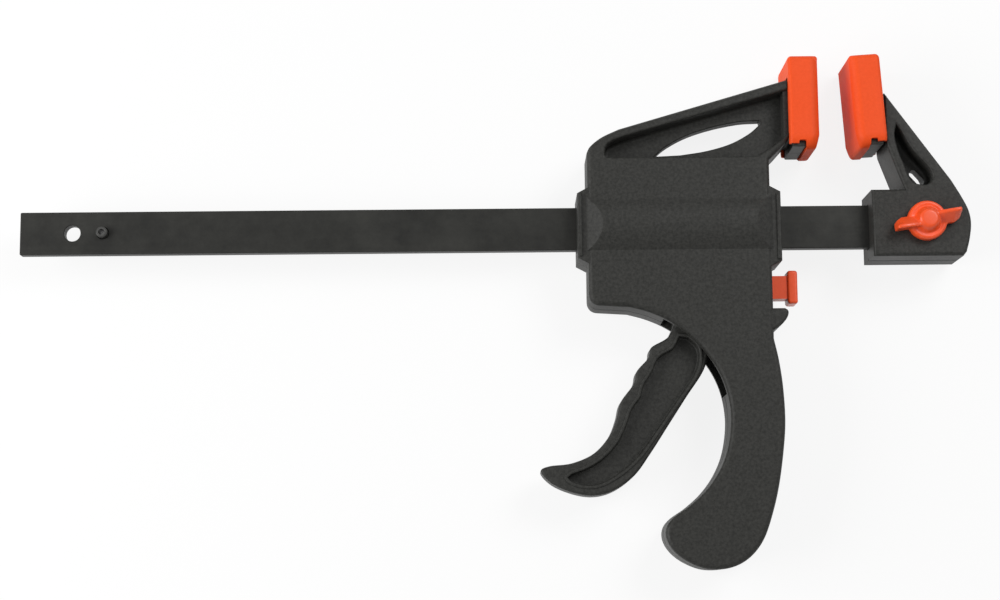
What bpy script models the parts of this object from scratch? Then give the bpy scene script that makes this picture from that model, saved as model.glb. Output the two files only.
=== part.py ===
"""One-hand ratcheting bar clamp with a flat steel bar, a moulded pistol-grip housing and a screwed-on jaw.

Metres. The clamp lies on its back: +Z comes out of its front face, +X runs along the bar towards the fixed
jaw and +Y is the way both jaws point. The origin is on the resting plane, below the bar's axis, at the middle
of the housing.
"""

import math

import bmesh
import bpy
from mathutils import Matrix, Vector

# Clearances and finish
GAP = 0.0003
RUNNING_GAP = 0.0003
SEAM = 0.0003
OVERRUN = 0.002
SMALL_EDGE = 0.0005
WELD = 0.000001
ARC_STEPS = 4
CURVE_STEPS = 2
COIL_STEPS = 10
ROUND_SIDES = 24
SMALL_SIDES = 16
DIP_SIDES = 64

# Bar
BAR_LENGTH = 0.3725
BAR_HEIGHT = 0.0173
BAR_THICKNESS = 0.0050
BAR_HOLE = 0.0065
TAIL_HOLE_INSET = 0.0210
PIN_HOLE_INSET = 0.0332
SCREW_HOLE_INSET = 0.0113
STOP_PIN_DIAMETER = 0.0045
STOP_PIN_BORE = 0.0024
STOP_PIN_LENGTH = 0.0110

# Housing: panels, bulge round the drive spring, collars at both ends
CREST_HALF = 0.0155
PANEL_HALF = 0.0125
WALL = 0.0026
HOUSING_EDGE = 0.0020
BLOCK_HALF_WIDTH = 0.0363
BLOCK_DROP = 0.0324
BLOCK_CORNER = 0.0042
BULGE_HALF_HEIGHT = 0.0104
BULGE_CREST_HALF_WIDTH = 0.0304
BULGE_LAND = 0.0072
COLLAR_REACH = 0.0404
COLLAR_RISE = 0.0128
COLLAR_LEFT_DROP = 0.0133
COLLAR_RIGHT_DROP = 0.0150
COLLAR_SHOULDER = 0.0022
LIP_WIDTH = 0.0018
LIP_HEIGHT = 0.0011
GUARD_REACH = 0.0061
GUARD_TOP = 0.0340
GUARD_HEIGHT = 0.0085
GUARD_EDGE = 0.0010

# Jaw arm on the housing: height over its foot at the pad, web in the middle of its thickness
ARM_FOOT = 0.0270
ARM_REACH = 0.0442
ARM_RISE = 0.0314
WEB_HALF = 0.0030

# Pistol grip
GRIP_REACH = 0.0398
GRIP_LENGTH = 0.1033

# Jaw heads and pads
PAD_THICKNESS = 0.0121
PAD_HEIGHT = 0.0378
PAD_HALF_WIDTH = 0.0150
PAD_FOOT = 0.0299
PAD_FACE_WALL = 0.0052
PAD_SIDE_WALL = 0.0022
PAD_TOP_WALL = 0.0032
PAD_LIP = 0.0010
PAD_LIP_OVERLAP = 0.0012
PAD_EDGE = 0.0016
PAD_TOP_CORNER = 0.0026
PAD_FOOT_CORNER = 0.0050
PAD_TAPER = 0.0013
PAD_TAPER_HEIGHT = 0.0056
PAD_HEM = 0.0020
PAD_NOTCH_WIDTH = 0.0032
PAD_NOTCH_HEIGHT = 0.0032
NECK_LENGTH = 0.0016
NECK_FOOT = 0.0046
ARM_NECK_TOP = 0.0579
JAW_NECK_TOP = 0.0507
HEAD_RAISE = 0.0009
JAW_OPENING = 0.0128
TOE_IN = math.radians(3.6)

# Fixed jaw, measured from the clamp screw's axis
JAW_HALF = 0.0120
JAW_FRONT = 0.0209
JAW_BACK = 0.0182
JAW_HALF_HEIGHT = 0.0133
JAW_DROP = 0.0136
JAW_RISE = 0.0530
JAW_EDGE = 0.0015
JAW_HEAD_REACH = 0.0161
JAW_STEP = 0.0005
JAW_WEB_HALF = 0.0030
JAW_SLOT_WIDTH = 0.0026

# Clamp screw, nut and wing knob
SCREW_DIAMETER = 0.0060
NUT_ACROSS_FLATS = 0.0100
NUT_THICKNESS = 0.0050
NUT_RECESS = 0.0010
KNOB_RADIUS = 0.0078
KNOB_FLANGE = 0.0042
KNOB_BOSS_RADIUS = 0.0043
KNOB_BOSS_HEIGHT = 0.0078
WING_SPAN = 0.0276
WING_THICKNESS = 0.0050
WING_WAIST = 0.0036
WING_HEIGHT = 0.0086
WING_LIFT = 0.0012
WING_DIP = 0.0022
WING_TILT = math.radians(12.0)
KNOB_SOCKET = 0.0060

# Trigger and its pin
TRIGGER_HALF = 0.0080
TRIGGER_EDGE = 0.0012
TRIGGER_WEB_HALF = 0.0030
TRIGGER_PIVOT_X = 0.0040
TRIGGER_PIVOT_DROP = 0.0230
TRIGGER_HUB = 0.0055
TRIGGER_SWING = math.radians(19.0)
TRIGGER_REACH = 0.0601
TRIGGER_LENGTH = 0.0840
NOSE_RADIUS = 0.0021
NOSE_ARM = 0.0114
TRIGGER_PIN_DIAMETER = 0.0040
TRIGGER_PIN_LENGTH = 0.0232

# Drive plate, brake plate and their springs
PLATE_THICKNESS = 0.0030
DRIVE_PLATE_HALF_WIDTH = 0.0093
DRIVE_PLATE_RISE = 0.0125
DRIVE_PLATE_DROP = 0.0138
DRIVE_WIRE = 0.0014
DRIVE_COIL_RADIUS = 0.01015
DRIVE_TURNS = 8
BRAKE_PLATE_HALF_WIDTH = 0.0080
BRAKE_PIVOT_X = 0.0215
BRAKE_PIVOT_RISE = 0.0140
BRAKE_PLATE_DROP = 0.0275
BRAKE_HOLE_PLAY = 0.0004
BRAKE_WIRE = 0.0007
BRAKE_COIL_RADIUS = 0.0027
BRAKE_TURNS = 5
BRAKE_SPRING_DROP = 0.0210
SPIGOT_RADIUS = 0.0019
SPIGOT_LENGTH = 0.0022
RIB_THICKNESS = 0.0018
RIB_X = 0.0122
RIB_HALF_HEIGHT = 0.0052

# Release button
BUTTON_DROP = 0.0246
BUTTON_TRAVEL = 0.0045
BUTTON_REACH = 0.0472
BUTTON_FLANGE = 0.0041
BUTTON_FLANGE_HALF_HEIGHT = 0.0067
BUTTON_FLANGE_HALF_WIDTH = 0.0048
BUTTON_STEM_HALF_HEIGHT = 0.0046
BUTTON_STEM_HALF_WIDTH = 0.0036
BUTTON_CATCH = 0.0020
BUTTON_CATCH_LIP = 0.0014
BUTTON_NOSE_RADIUS = 0.0020
BUTTON_EDGE = 0.0008

# Shell screws: self-tapping, in from the rear
BOSS_RADIUS = 0.0042
SHELL_SCREW_RADIUS = 0.0013
SHELL_SCREW_HEAD_RADIUS = 0.0028
SHELL_SCREW_HEAD = 0.0020
SHELL_SCREW_LENGTH = 0.0165
HEAD_SINK = 0.0032
PILOT_DEPTH = 0.0092
CROSS_WIDTH = 0.0008
CROSS_SPAN = 0.0030
CROSS_DEPTH = 0.0011

# Places worked out from the sizes above
MID = CREST_HALF
BAR_HALF = BAR_HEIGHT / 2
CAVITY_HALF = PANEL_HALF - WALL
BLOCK_INSIDE = BLOCK_HALF_WIDTH - WALL
ARM_LEFT = -BLOCK_HALF_WIDTH
ARM_SPAN = ARM_REACH + BLOCK_HALF_WIDTH
PAD_BACK = ARM_REACH + GAP
PAD_FACE = PAD_BACK + PAD_THICKNESS
HEAD_THICKNESS = PAD_THICKNESS - PAD_LIP - PAD_FACE_WALL - 2 * GAP
PAD_TOP = PAD_FOOT + PAD_HEIGHT
SCREW_X = PAD_FACE + JAW_OPENING + PAD_THICKNESS + JAW_HEAD_REACH
BAR_END = SCREW_X + SCREW_HOLE_INSET
BAR_START = BAR_END - BAR_LENGTH
DRIVE_BORE = DRIVE_COIL_RADIUS + DRIVE_WIRE / 2 + 2 * GAP
NOSE_X = TRIGGER_PIVOT_X + NOSE_ARM * math.sin(TRIGGER_SWING / 2)
NOSE_Y = -TRIGGER_PIVOT_DROP + NOSE_ARM * math.cos(TRIGGER_SWING / 2)
DRIVE_PLATE_RIGHT = NOSE_X - NOSE_RADIUS - RUNNING_GAP / 2
BRAKE_ARM = BRAKE_PIVOT_RISE + BUTTON_DROP
BRAKE_CANT = BUTTON_TRAVEL / BRAKE_ARM


# Outlines: smooth runs through chosen points, and rounded corners
def smooth(points, steps=CURVE_STEPS):
    """Points along one smooth curve that passes through all the given points."""
    padded = [Vector(points[0]) * 2 - Vector(points[1]), *map(Vector, points)]
    padded.append(Vector(points[-1]) * 2 - Vector(points[-2]))
    found = []
    for a, b, c, d in zip(padded, padded[1:], padded[2:], padded[3:]):
        for step in range(steps):
            t = step / steps
            out = (c - a) / 2
            back = (d - b) / 2
            curve = (2 * t**3 - 3 * t**2 + 1) * b + (t**3 - 2 * t**2 + t) * out
            curve += (3 * t**2 - 2 * t**3) * c + (t**3 - t**2) * back
            found.append(tuple(curve))
    found.append(tuple(points[-1]))
    return found


def rounded(points, radii, steps=ARC_STEPS):
    """A closed outline with each corner of the given polygon rounded to its own radius."""
    found = []
    for before, corner, after, radius in zip([points[-1], *points], points, [*points[1:], points[0]], radii):
        corner = Vector(corner)
        to_before = (Vector(before) - corner).normalized()
        to_after = (Vector(after) - corner).normalized()
        half_angle = to_before.angle(to_after) / 2
        reach = radius / math.tan(half_angle)
        centre = corner + (to_before + to_after).normalized() * radius / math.sin(half_angle)
        start = corner + to_before * reach - centre
        end = corner + to_after * reach - centre
        turn = start.angle_signed(end)
        for step in range(steps + 1):
            angle = -turn * step / steps
            found.append(tuple(centre + Matrix.Rotation(angle, 2) @ start))
    return found


def placed(shares, origin, width, height):
    """Points given as shares of a width and a height, measured from an origin."""
    return [(origin[0] + width * x, origin[1] + height * y) for x, y in shares]


# Solids
def collection(name):
    found = bpy.data.collections.new(name)
    bpy.context.scene.collection.children.link(found)
    return found


def keep(name, mesh, group):
    part = bpy.data.objects.new(name, mesh)
    group.objects.link(part)
    return part


def mesh_of(curve_object):
    """The closed mesh of a curve object, which is then removed."""
    bpy.context.view_layer.update()
    evaluated = curve_object.evaluated_get(bpy.context.evaluated_depsgraph_get())
    mesh = bpy.data.meshes.new_from_object(evaluated)
    work = bmesh.new()
    work.from_mesh(mesh)
    bmesh.ops.remove_doubles(work, verts=work.verts, dist=WELD)
    bmesh.ops.recalc_face_normals(work, faces=work.faces)
    work.to_mesh(mesh)
    work.free()
    curve = curve_object.data
    bpy.data.objects.remove(curve_object)
    bpy.data.curves.remove(curve)
    return mesh


def slab(name, outline, low, high, group, edge=0.0, inset=0.0):
    """A flat outline from z low to z high, with its rims rounded by edge and its sides drawn in by inset."""
    curve = bpy.data.curves.new(name, "CURVE")
    curve.dimensions = "2D"
    curve.fill_mode = "BOTH"
    curve.extrude = (high - low) / 2 - edge
    curve.bevel_depth = edge
    curve.bevel_resolution = 1
    curve.offset = -edge - inset
    spline = curve.splines.new("POLY")
    spline.points.add(len(outline) - 1)
    spline.use_cyclic_u = True
    for point, (x, y) in zip(spline.points, outline):
        point.co = (x, y, 0, 1)
    flat = keep(name, curve, group)
    mesh = mesh_of(flat)
    mesh.transform(Matrix.Translation((0, 0, (low + high) / 2)))
    return keep(name, mesh, group)


def block(name, low, high, group, edge=0.0):
    """A box between two corners, with its edges rounded."""
    mesh = bpy.data.meshes.new(name)
    work = bmesh.new()
    bmesh.ops.create_cube(work, size=1)
    size = Vector(high) - Vector(low)
    centre = (Vector(high) + Vector(low)) / 2
    bmesh.ops.scale(work, vec=size, verts=work.verts)
    bmesh.ops.translate(work, vec=centre, verts=work.verts)
    if edge:
        bmesh.ops.bevel(work, geom=work.edges, offset=edge, segments=2, profile=0.5, affect="EDGES")
    work.to_mesh(mesh)
    work.free()
    return keep(name, mesh, group)


def rod(name, radius, start, end, group, sides=ROUND_SIDES):
    """A round bar between two points."""
    mesh = bpy.data.meshes.new(name)
    work = bmesh.new()
    along = Vector(end) - Vector(start)
    bmesh.ops.create_cone(
        work, cap_ends=True, segments=sides, radius1=radius, radius2=radius, depth=along.length
    )
    turn = along.to_track_quat("Z", "Y").to_matrix().to_4x4()
    work.transform(Matrix.Translation((Vector(start) + Vector(end)) / 2) @ turn)
    work.to_mesh(mesh)
    work.free()
    return keep(name, mesh, group)


def turned(name, profile, group, sides=ROUND_SIDES):
    """A profile of (radius, z) points, from top to bottom, turned about the Z axis."""
    mesh = bpy.data.meshes.new(name)
    points = [(radius, 0, z) for radius, z in profile]
    edges = [(i, i + 1) for i in range(len(points) - 1)]
    if profile[0][0] and profile[-1][0]:
        edges.append((len(points) - 1, 0))
    mesh.from_pydata(points, edges, [])
    part = keep(name, mesh, group)
    screw = part.modifiers.new("turn", "SCREW")
    screw.steps = sides
    screw.render_steps = sides
    screw.use_merge_vertices = True
    screw.merge_threshold = WELD
    screw.use_smooth_shade = True
    return part


def coil(name, start, end, radius, wire, turns, group):
    """An unbroken round-wire coil spring along X, from start to end."""
    curve = bpy.data.curves.new(name, "CURVE")
    curve.dimensions = "3D"
    curve.bevel_depth = wire / 2
    curve.bevel_resolution = 1
    curve.use_fill_caps = True
    spline = curve.splines.new("POLY")
    count = COIL_STEPS * turns
    spline.points.add(count)
    points = []
    for i in range(count + 1):
        angle = math.tau * i / COIL_STEPS
        x = start[0] + wire / 2 + (end[0] - start[0] - wire) * i / count
        y = start[1] + radius * math.cos(angle)
        z = start[2] + radius * math.sin(angle)
        points.append(Vector((x, y, z)))
        spline.points[i].co = (x, y, z, 1)
    clear = min((a - b).length for i, a in enumerate(points) for b in points[i + COIL_STEPS // 2 :]) - wire
    print(name, "least gap to itself, mm:", round(clear * 1000, 2))
    return keep(name, mesh_of(keep(name, curve, group)), group)


def boolean(part, tool, operation):
    change = part.modifiers.new(tool.name, "BOOLEAN")
    change.operation = operation
    change.object = tool
    change.solver = "EXACT"
    if tool.name not in cutters.objects:
        for group in tool.users_collection:
            group.objects.unlink(tool)
        cutters.objects.link(tool)
    tool.hide_render = True
    tool.display_type = "WIRE"


def cut(part, *tools):
    for tool in tools:
        boolean(part, tool, "DIFFERENCE")


def join(part, *tools):
    for tool in tools:
        boolean(part, tool, "UNION")


def trim(part, *tools):
    for tool in tools:
        boolean(part, tool, "INTERSECT")


def moved(part, matrix):
    part.data.transform(matrix)
    return part


def finish(part, finish_material, angle=math.radians(35)):
    """Gives a part its material and smooth shading between faces that nearly agree."""
    part.data.materials.clear()
    part.data.materials.append(finish_material)
    part.data.shade_smooth()
    part.data.set_sharp_from_angle(angle=angle)
    return part


def material(name, colour, roughness, metallic=0.0):
    found = bpy.data.materials.new(name)
    found.use_nodes = True
    shader = found.node_tree.nodes["Principled BSDF"]
    shader.inputs["Base Color"].default_value = (*colour, 1)
    shader.inputs["Roughness"].default_value = roughness
    shader.inputs["Metallic"].default_value = metallic
    return found


# Housing outlines, as shares of the spans that they follow
ARM_CREST_SHARES = [(0.0, 0.073), (0.019, 0.159), (0.074, 0.271), (0.159, 0.373)]
ARM_TOP_SHARE = (1.0, 1.0)
ARM_UNDERSIDE_SHARES = [(1.0, 0.215), (0.956, 0.089)]
ARM_ROOT_SHARE = -0.045
GRIP_SHARES = [
    (0.911, 0.132), (0.957, 0.218), (0.990, 0.325), (1.000, 0.451), (0.970, 0.572), (0.919, 0.693),
    (0.853, 0.792), (0.770, 0.881), (0.666, 0.940), (0.532, 0.980), (0.367, 1.000), (0.177, 0.998),
    (0.000, 0.970), (-0.124, 0.932), (-0.192, 0.887), (-0.190, 0.842), (-0.116, 0.805), (0.038, 0.764),
    (0.197, 0.709), (0.329, 0.640), (0.420, 0.558), (0.463, 0.461), (0.456, 0.379), (0.410, 0.302),
    (0.327, 0.233), (0.210, 0.170), (0.071, 0.114), (-0.114, 0.063), (-0.314, 0.028), (-0.506, 0.007),
]
ARM_POCKET_LEFT_SHARES = [(0.105, 0.0), (0.088, 0.040), (0.099, 0.162), (0.151, 0.245), (0.261, 0.331)]
ARM_POCKET_RIGHT_SHARES = [(0.968, 0.213), (0.898, 0.083), (0.8425, 0.010), (0.790, 0.0)]
ARM_POCKET_TOP_SHARE = 0.866
ARM_POCKET_END_SHARE = 0.306
LENS_TOP_SHARES = [
    (0.342, 0.073), (0.405, 0.204), (0.505, 0.341), (0.630, 0.446), (0.768, 0.516), (0.868, 0.529),
]
LENS_BOTTOM_SHARES = [(0.909, 0.490), (0.830, 0.369), (0.724, 0.229), (0.605, 0.140), (0.474, 0.089)]
SLOT_LEFT = -0.0068
SLOT_SHARES = [
    (0.62, 0.00), (0.62, 0.22), (0.50, 0.365), (0.28, 0.365), (0.0, 0.20), (SLOT_LEFT / GRIP_REACH, 0.17),
]
SCREW_GRIP_SHARES = [(0.72, 0.13), (0.74, 0.52), (0.22, 0.88)]
GUARD_SHARES = [(0.76, 0.0), (0.95, 0.10), (0.98, 0.26), (0.84, 0.50), (0.50, 0.78), (0.05, 1.0)]
BRAKE_SEAT_SHARE = 1.5


def grip_run():
    return smooth(placed(GRIP_SHARES, (0, -BLOCK_DROP), GRIP_REACH, -GRIP_LENGTH))


def foot_corner():
    """The rounded lower left corner of the housing's block, from its underside to its left side."""
    centre = (-BLOCK_HALF_WIDTH + BLOCK_CORNER, -BLOCK_DROP + BLOCK_CORNER)
    points = []
    for step in range(ARC_STEPS + 1):
        angle = math.radians(270) - math.radians(90) * step / ARC_STEPS
        x = centre[0] + BLOCK_CORNER * math.cos(angle)
        y = centre[1] + BLOCK_CORNER * math.sin(angle)
        points.append((x, y))
    return points


def arm_points(shares):
    return placed(shares, (ARM_LEFT, ARM_FOOT), ARM_SPAN, ARM_RISE)


def housing_outline():
    """Block, jaw arm and grip in one outline. The arm runs on to the head, where it is cut to its neck."""
    crest = smooth(arm_points(ARM_CREST_SHARES))
    top = Vector(arm_points([ARM_TOP_SHARE])[0])
    slope = (top - Vector(crest[-1])).normalized()
    low, underside = map(Vector, arm_points(ARM_UNDERSIDE_SHARES))
    root = (BLOCK_HALF_WIDTH, ARM_FOOT + ARM_RISE * ARM_ROOT_SHARE)
    arm_end = [tuple(top + slope * OVERRUN * 2), tuple(low + (low - underside).normalized() * OVERRUN * 2)]
    right_side = [tuple(underside), root, (BLOCK_HALF_WIDTH, -BLOCK_DROP)]
    return foot_corner() + crest + arm_end + right_side + grip_run()


def cavity_outline():
    """The block and the grip without the arm, which is solid between its pockets."""
    top = [(-BLOCK_HALF_WIDTH, ARM_FOOT), (BLOCK_HALF_WIDTH, ARM_FOOT), (BLOCK_HALF_WIDTH, -BLOCK_DROP)]
    return foot_corner() + top + grip_run()


def arm_pocket_outline():
    left = smooth(arm_points(ARM_POCKET_LEFT_SHARES))
    right = smooth(arm_points(ARM_POCKET_RIGHT_SHARES))
    end = arm_points([(1.0, ARM_POCKET_TOP_SHARE), (1.0, ARM_POCKET_END_SHARE)])
    beyond = [(x + OVERRUN, y) for x, y in end]
    return left + [end[0], beyond[0], beyond[1], end[1]] + right


def lens_outline():
    return smooth(arm_points(LENS_TOP_SHARES)) + smooth(arm_points(LENS_BOTTOM_SHARES))


def slot_outline():
    """The opening in the underside and the grip's inner wall that the trigger enters by and swings in."""
    inside = [(SLOT_LEFT, -BLOCK_DROP + WALL + OVERRUN)]
    return inside + placed(SLOT_SHARES, (0, -BLOCK_DROP + WALL), GRIP_REACH, -GRIP_LENGTH)


def screw_places():
    """Where the shell screws stand: three in the block, three down the grip."""
    inset = BOSS_RADIUS - 2 * SMALL_EDGE
    upper = ARM_FOOT - WALL - inset
    left = -BLOCK_INSIDE + inset
    lower = -BLOCK_DROP + WALL + inset
    grip = placed(SCREW_GRIP_SHARES, (0, -BLOCK_DROP), GRIP_REACH, -GRIP_LENGTH)
    return [(left, upper), (-left, upper), (left, lower), *grip]


# Housing shells
def across(name, outline, low, high, group, edge=0.0):
    """A slab whose outline lies in Y and Z and which runs along X."""
    part = slab(name, outline, low, high, group, edge)
    turn = Matrix(((0, 0, 1, 0), (1, 0, 0, 0), (0, 1, 0, 0), (0, 0, 0, 1)))
    return moved(part, turn)


def bulge(name, group):
    """The barrel over the drive spring, with a flat land on each crest and sloped ends."""
    rise = CREST_HALF - PANEL_HALF
    run = BULGE_HALF_HEIGHT - BULGE_LAND / 2
    low = PANEL_HALF - SMALL_EDGE
    steps = 2 * ARC_STEPS
    front = []
    for step in range(steps + 1):
        angle = math.radians(90) * step / steps
        front.append((BULGE_LAND / 2 + run * math.cos(angle), low + (CREST_HALF - low) * math.sin(angle)))
    half = front + [(-y, z) for y, z in reversed(front)]
    outline = [(y, MID + z) for y, z in half] + [(-y, MID - z) for y, z in half]
    slope = rise / (BLOCK_HALF_WIDTH - BULGE_CREST_HALF_WIDTH)
    inside = (COLLAR_REACH - BLOCK_HALF_WIDTH) / 2
    barrel = across(name, outline, -BLOCK_HALF_WIDTH - inside, BLOCK_HALF_WIDTH + inside, group)
    foot = (BLOCK_HALF_WIDTH + inside + SMALL_EDGE, PANEL_HALF - (inside + SMALL_EDGE) * slope)
    crest = (BULGE_CREST_HALF_WIDTH - SMALL_EDGE / slope, CREST_HALF + SMALL_EDGE)
    ends = [foot, crest, (-crest[0], crest[1]), (-foot[0], foot[1])]
    ends += [(x, -z) for x, z in reversed(ends)]
    wedge = slab(name + "_ends", ends, -BULGE_HALF_HEIGHT - OVERRUN, BULGE_HALF_HEIGHT + OVERRUN, cutters)
    moved(wedge, Matrix.Translation((0, 0, MID)) @ Matrix.Rotation(math.radians(90), 4, "X"))
    trim(barrel, wedge)
    return barrel


def collars(name, group):
    """The two guide collars that the bar leaves the housing by, each with a raised lip."""
    parts = []
    for side, drop in ((-1, COLLAR_LEFT_DROP), (1, COLLAR_RIGHT_DROP)):
        inside = WALL / 2
        inner = side * (BLOCK_HALF_WIDTH - inside)
        slope = COLLAR_SHOULDER / (COLLAR_REACH - BLOCK_HALF_WIDTH)
        shoulder = COLLAR_SHOULDER + slope * inside
        outline = [
            (inner, COLLAR_RISE + shoulder),
            (side * COLLAR_REACH, COLLAR_RISE),
            (side * COLLAR_REACH, -drop),
            (inner, -drop - shoulder),
        ]
        if side > 0:
            outline.reverse()
        half = PANEL_HALF - GAP
        parts.append(slab(f"{name}_{side}", outline, MID - half, MID + half, group, SMALL_EDGE))
        ends = sorted((side * (COLLAR_REACH - LIP_WIDTH), side * (COLLAR_REACH - SMALL_EDGE / 2)))
        half += LIP_HEIGHT
        low = (ends[0], SMALL_EDGE - drop, MID - half)
        high = (ends[1], COLLAR_RISE - SMALL_EDGE, MID + half)
        parts.append(block(f"{name}_lip_{side}", low, high, group, SMALL_EDGE))
    return parts


def head(name, neck_top, group):
    """The jaw head inside the pad: a plate, and a neck that the pad's lips grip behind."""
    plate_left = PAD_BACK + PAD_LIP + GAP
    half = PAD_HALF_WIDTH - PAD_SIDE_WALL - GAP
    neck_half = half - PAD_LIP_OVERLAP - GAP
    top = PAD_TOP - PAD_TOP_WALL - GAP
    plate = block(
        name + "_plate",
        (plate_left, PAD_FOOT + HEAD_RAISE, MID - half),
        (plate_left + HEAD_THICKNESS, top, MID + half),
        group,
        SMALL_EDGE,
    )
    neck = block(
        name + "_neck",
        (ARM_REACH - NECK_LENGTH, PAD_FOOT + NECK_FOOT, MID - neck_half),
        (plate_left + HEAD_THICKNESS / 2, neck_top, MID + neck_half),
        group,
    )
    return plate, neck


def guard(name, group):
    """The fin below the release button."""
    root = BLOCK_HALF_WIDTH - WALL
    edge = placed(GUARD_SHARES, (BLOCK_HALF_WIDTH, -GUARD_TOP), GUARD_REACH, -GUARD_HEIGHT)
    outline = [(root, -GUARD_TOP - GUARD_HEIGHT), (root, -GUARD_TOP), *smooth(edge)]
    half = PANEL_HALF - GAP
    return slab(name, outline, MID - half, MID + half, group, GUARD_EDGE)


def shell(name, side):
    """One housing half: side 1 is the front, side -1 the rear."""
    part = slab(name, housing_outline(), MID - PANEL_HALF, MID + PANEL_HALF, parts, HOUSING_EDGE)

    def tool(kind):
        return f"{name}_{kind}"

    deep = PANEL_HALF + OVERRUN
    plate, neck = head(tool("head"), ARM_NECK_TOP, cutters)
    arm_trim = block(
        tool("arm_trim"),
        (ARM_REACH, ARM_FOOT, MID - deep),
        (PAD_FACE + OVERRUN, 2 * PAD_TOP, MID + deep),
        cutters,
    )
    cut(part, arm_trim)
    join(part, guard(tool("guard"), cutters), *collars(tool("collar"), cutters))
    join(part, bulge(tool("bulge"), cutters))

    cavity = slab(tool("cavity"), cavity_outline(), MID - CAVITY_HALF, MID + CAVITY_HALF, cutters, inset=WALL)
    seat_end = BLOCK_INSIDE + GAP
    bore = rod(tool("bore"), DRIVE_BORE, (-seat_end, 0, MID), (seat_end, 0, MID), cutters)
    cut(part, cavity, bore)

    floor = side * WEB_HALF
    reach = side * deep
    z = sorted((MID + floor, MID + reach))
    pocket = slab(tool("pocket"), arm_pocket_outline(), z[0], z[1], cutters)
    lens = slab(tool("lens"), lens_outline(), MID - deep, MID + deep, cutters)
    cut(part, pocket, lens)
    join(part, neck, plate)

    inner = MID + side * (SEAM / 2)
    panel = MID + side * (CAVITY_HALF + SMALL_EDGE)
    z = sorted((inner, panel))
    seat = block(
        tool("brake_seat"),
        (BRAKE_PIVOT_X - PLATE_THICKNESS * BRAKE_SEAT_SHARE, BAR_HALF + 4 * GAP, z[0]),
        (BLOCK_INSIDE + SMALL_EDGE, ARM_FOOT - WALL + SMALL_EDGE, z[1]),
        cutters,
    )
    rib = block(
        tool("rib"),
        (RIB_X, -BRAKE_SPRING_DROP - RIB_HALF_HEIGHT, z[0]),
        (RIB_X + RIB_THICKNESS, -BRAKE_SPRING_DROP + RIB_HALF_HEIGHT, z[1]),
        cutters,
    )
    spigot = rod(
        tool("spigot"),
        SPIGOT_RADIUS,
        (RIB_X + RIB_THICKNESS / 2, -BRAKE_SPRING_DROP, MID),
        (RIB_X + RIB_THICKNESS + SPIGOT_LENGTH, -BRAKE_SPRING_DROP, MID),
        cutters,
        SMALL_SIDES,
    )
    join(part, seat, rib, spigot)
    pin_boss_low = MID + side * (TRIGGER_HALF + RUNNING_GAP)
    pivot = (TRIGGER_PIVOT_X, -TRIGGER_PIVOT_DROP)
    pin_boss = rod(
        tool("pin_boss"), TRIGGER_HUB, (*pivot, pin_boss_low), (*pivot, panel), cutters, SMALL_SIDES
    )
    join(part, pin_boss)
    for number, place in enumerate(screw_places(), 1):
        boss = rod(
            tool(f"boss_{number}"), BOSS_RADIUS, (*place, inner), (*place, panel), cutters, SMALL_SIDES
        )
        join(part, boss)

    clear = BAR_HALF + RUNNING_GAP
    slot_half = BAR_THICKNESS / 2 + RUNNING_GAP
    bar_way = block(
        tool("bar_way"),
        (-COLLAR_REACH - OVERRUN, -clear, MID - slot_half),
        (COLLAR_REACH + OVERRUN, clear, MID + slot_half),
        cutters,
    )
    trigger_room = TRIGGER_HALF + 2 * RUNNING_GAP
    trigger_slot = slab(tool("trigger_slot"), slot_outline(), MID - trigger_room, MID + trigger_room, cutters)
    notch = brake_notch(tool("brake_notch"))
    button_way = block(
        tool("button_way"),
        (BLOCK_INSIDE - OVERRUN, -BUTTON_DROP - BUTTON_STEM_HALF_HEIGHT - RUNNING_GAP,
         MID - BUTTON_STEM_HALF_WIDTH - RUNNING_GAP),
        (BLOCK_HALF_WIDTH + OVERRUN, -BUTTON_DROP + BUTTON_STEM_HALF_HEIGHT + RUNNING_GAP,
         MID + BUTTON_STEM_HALF_WIDTH + RUNNING_GAP),
        cutters,
    )
    pin_end = TRIGGER_PIN_LENGTH / 2 + RUNNING_GAP
    pin_socket = rod(
        tool("pin_socket"),
        TRIGGER_PIN_DIAMETER / 2 + RUNNING_GAP / 2,
        (*pivot, MID - pin_end),
        (*pivot, MID + pin_end),
        cutters,
        SMALL_SIDES,
    )
    cut(part, bar_way, trigger_slot, notch, button_way, pin_socket)
    for number, place in enumerate(screw_places(), 1):
        screw_hole(part, tool(f"screw_{number}"), place, side)

    outer = side * (CREST_HALF + OVERRUN)
    z = sorted((inner, MID + outer))
    half_space = block(
        tool("half"),
        (-COLLAR_REACH * 2, -2 * GRIP_LENGTH, z[0]),
        (PAD_FACE, 2 * PAD_TOP, z[1]),
        cutters,
    )
    trim(part, half_space)
    return finish(part, black_plastic)


def brake_notch(name):
    """The recess that holds the brake plate's upper end."""
    play = PLATE_THICKNESS / 2 + 2 * GAP
    top = BRAKE_PIVOT_RISE + PLATE_THICKNESS / 2 + GAP
    half = BRAKE_PLATE_HALF_WIDTH + GAP
    lean = (BRAKE_PIVOT_RISE - BAR_HALF) * math.tan(BRAKE_CANT)
    return block(
        name,
        (BRAKE_PIVOT_X - play, 0, MID - half),
        (BRAKE_PIVOT_X + play + lean, top, MID + half),
        cutters,
    )


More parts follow.
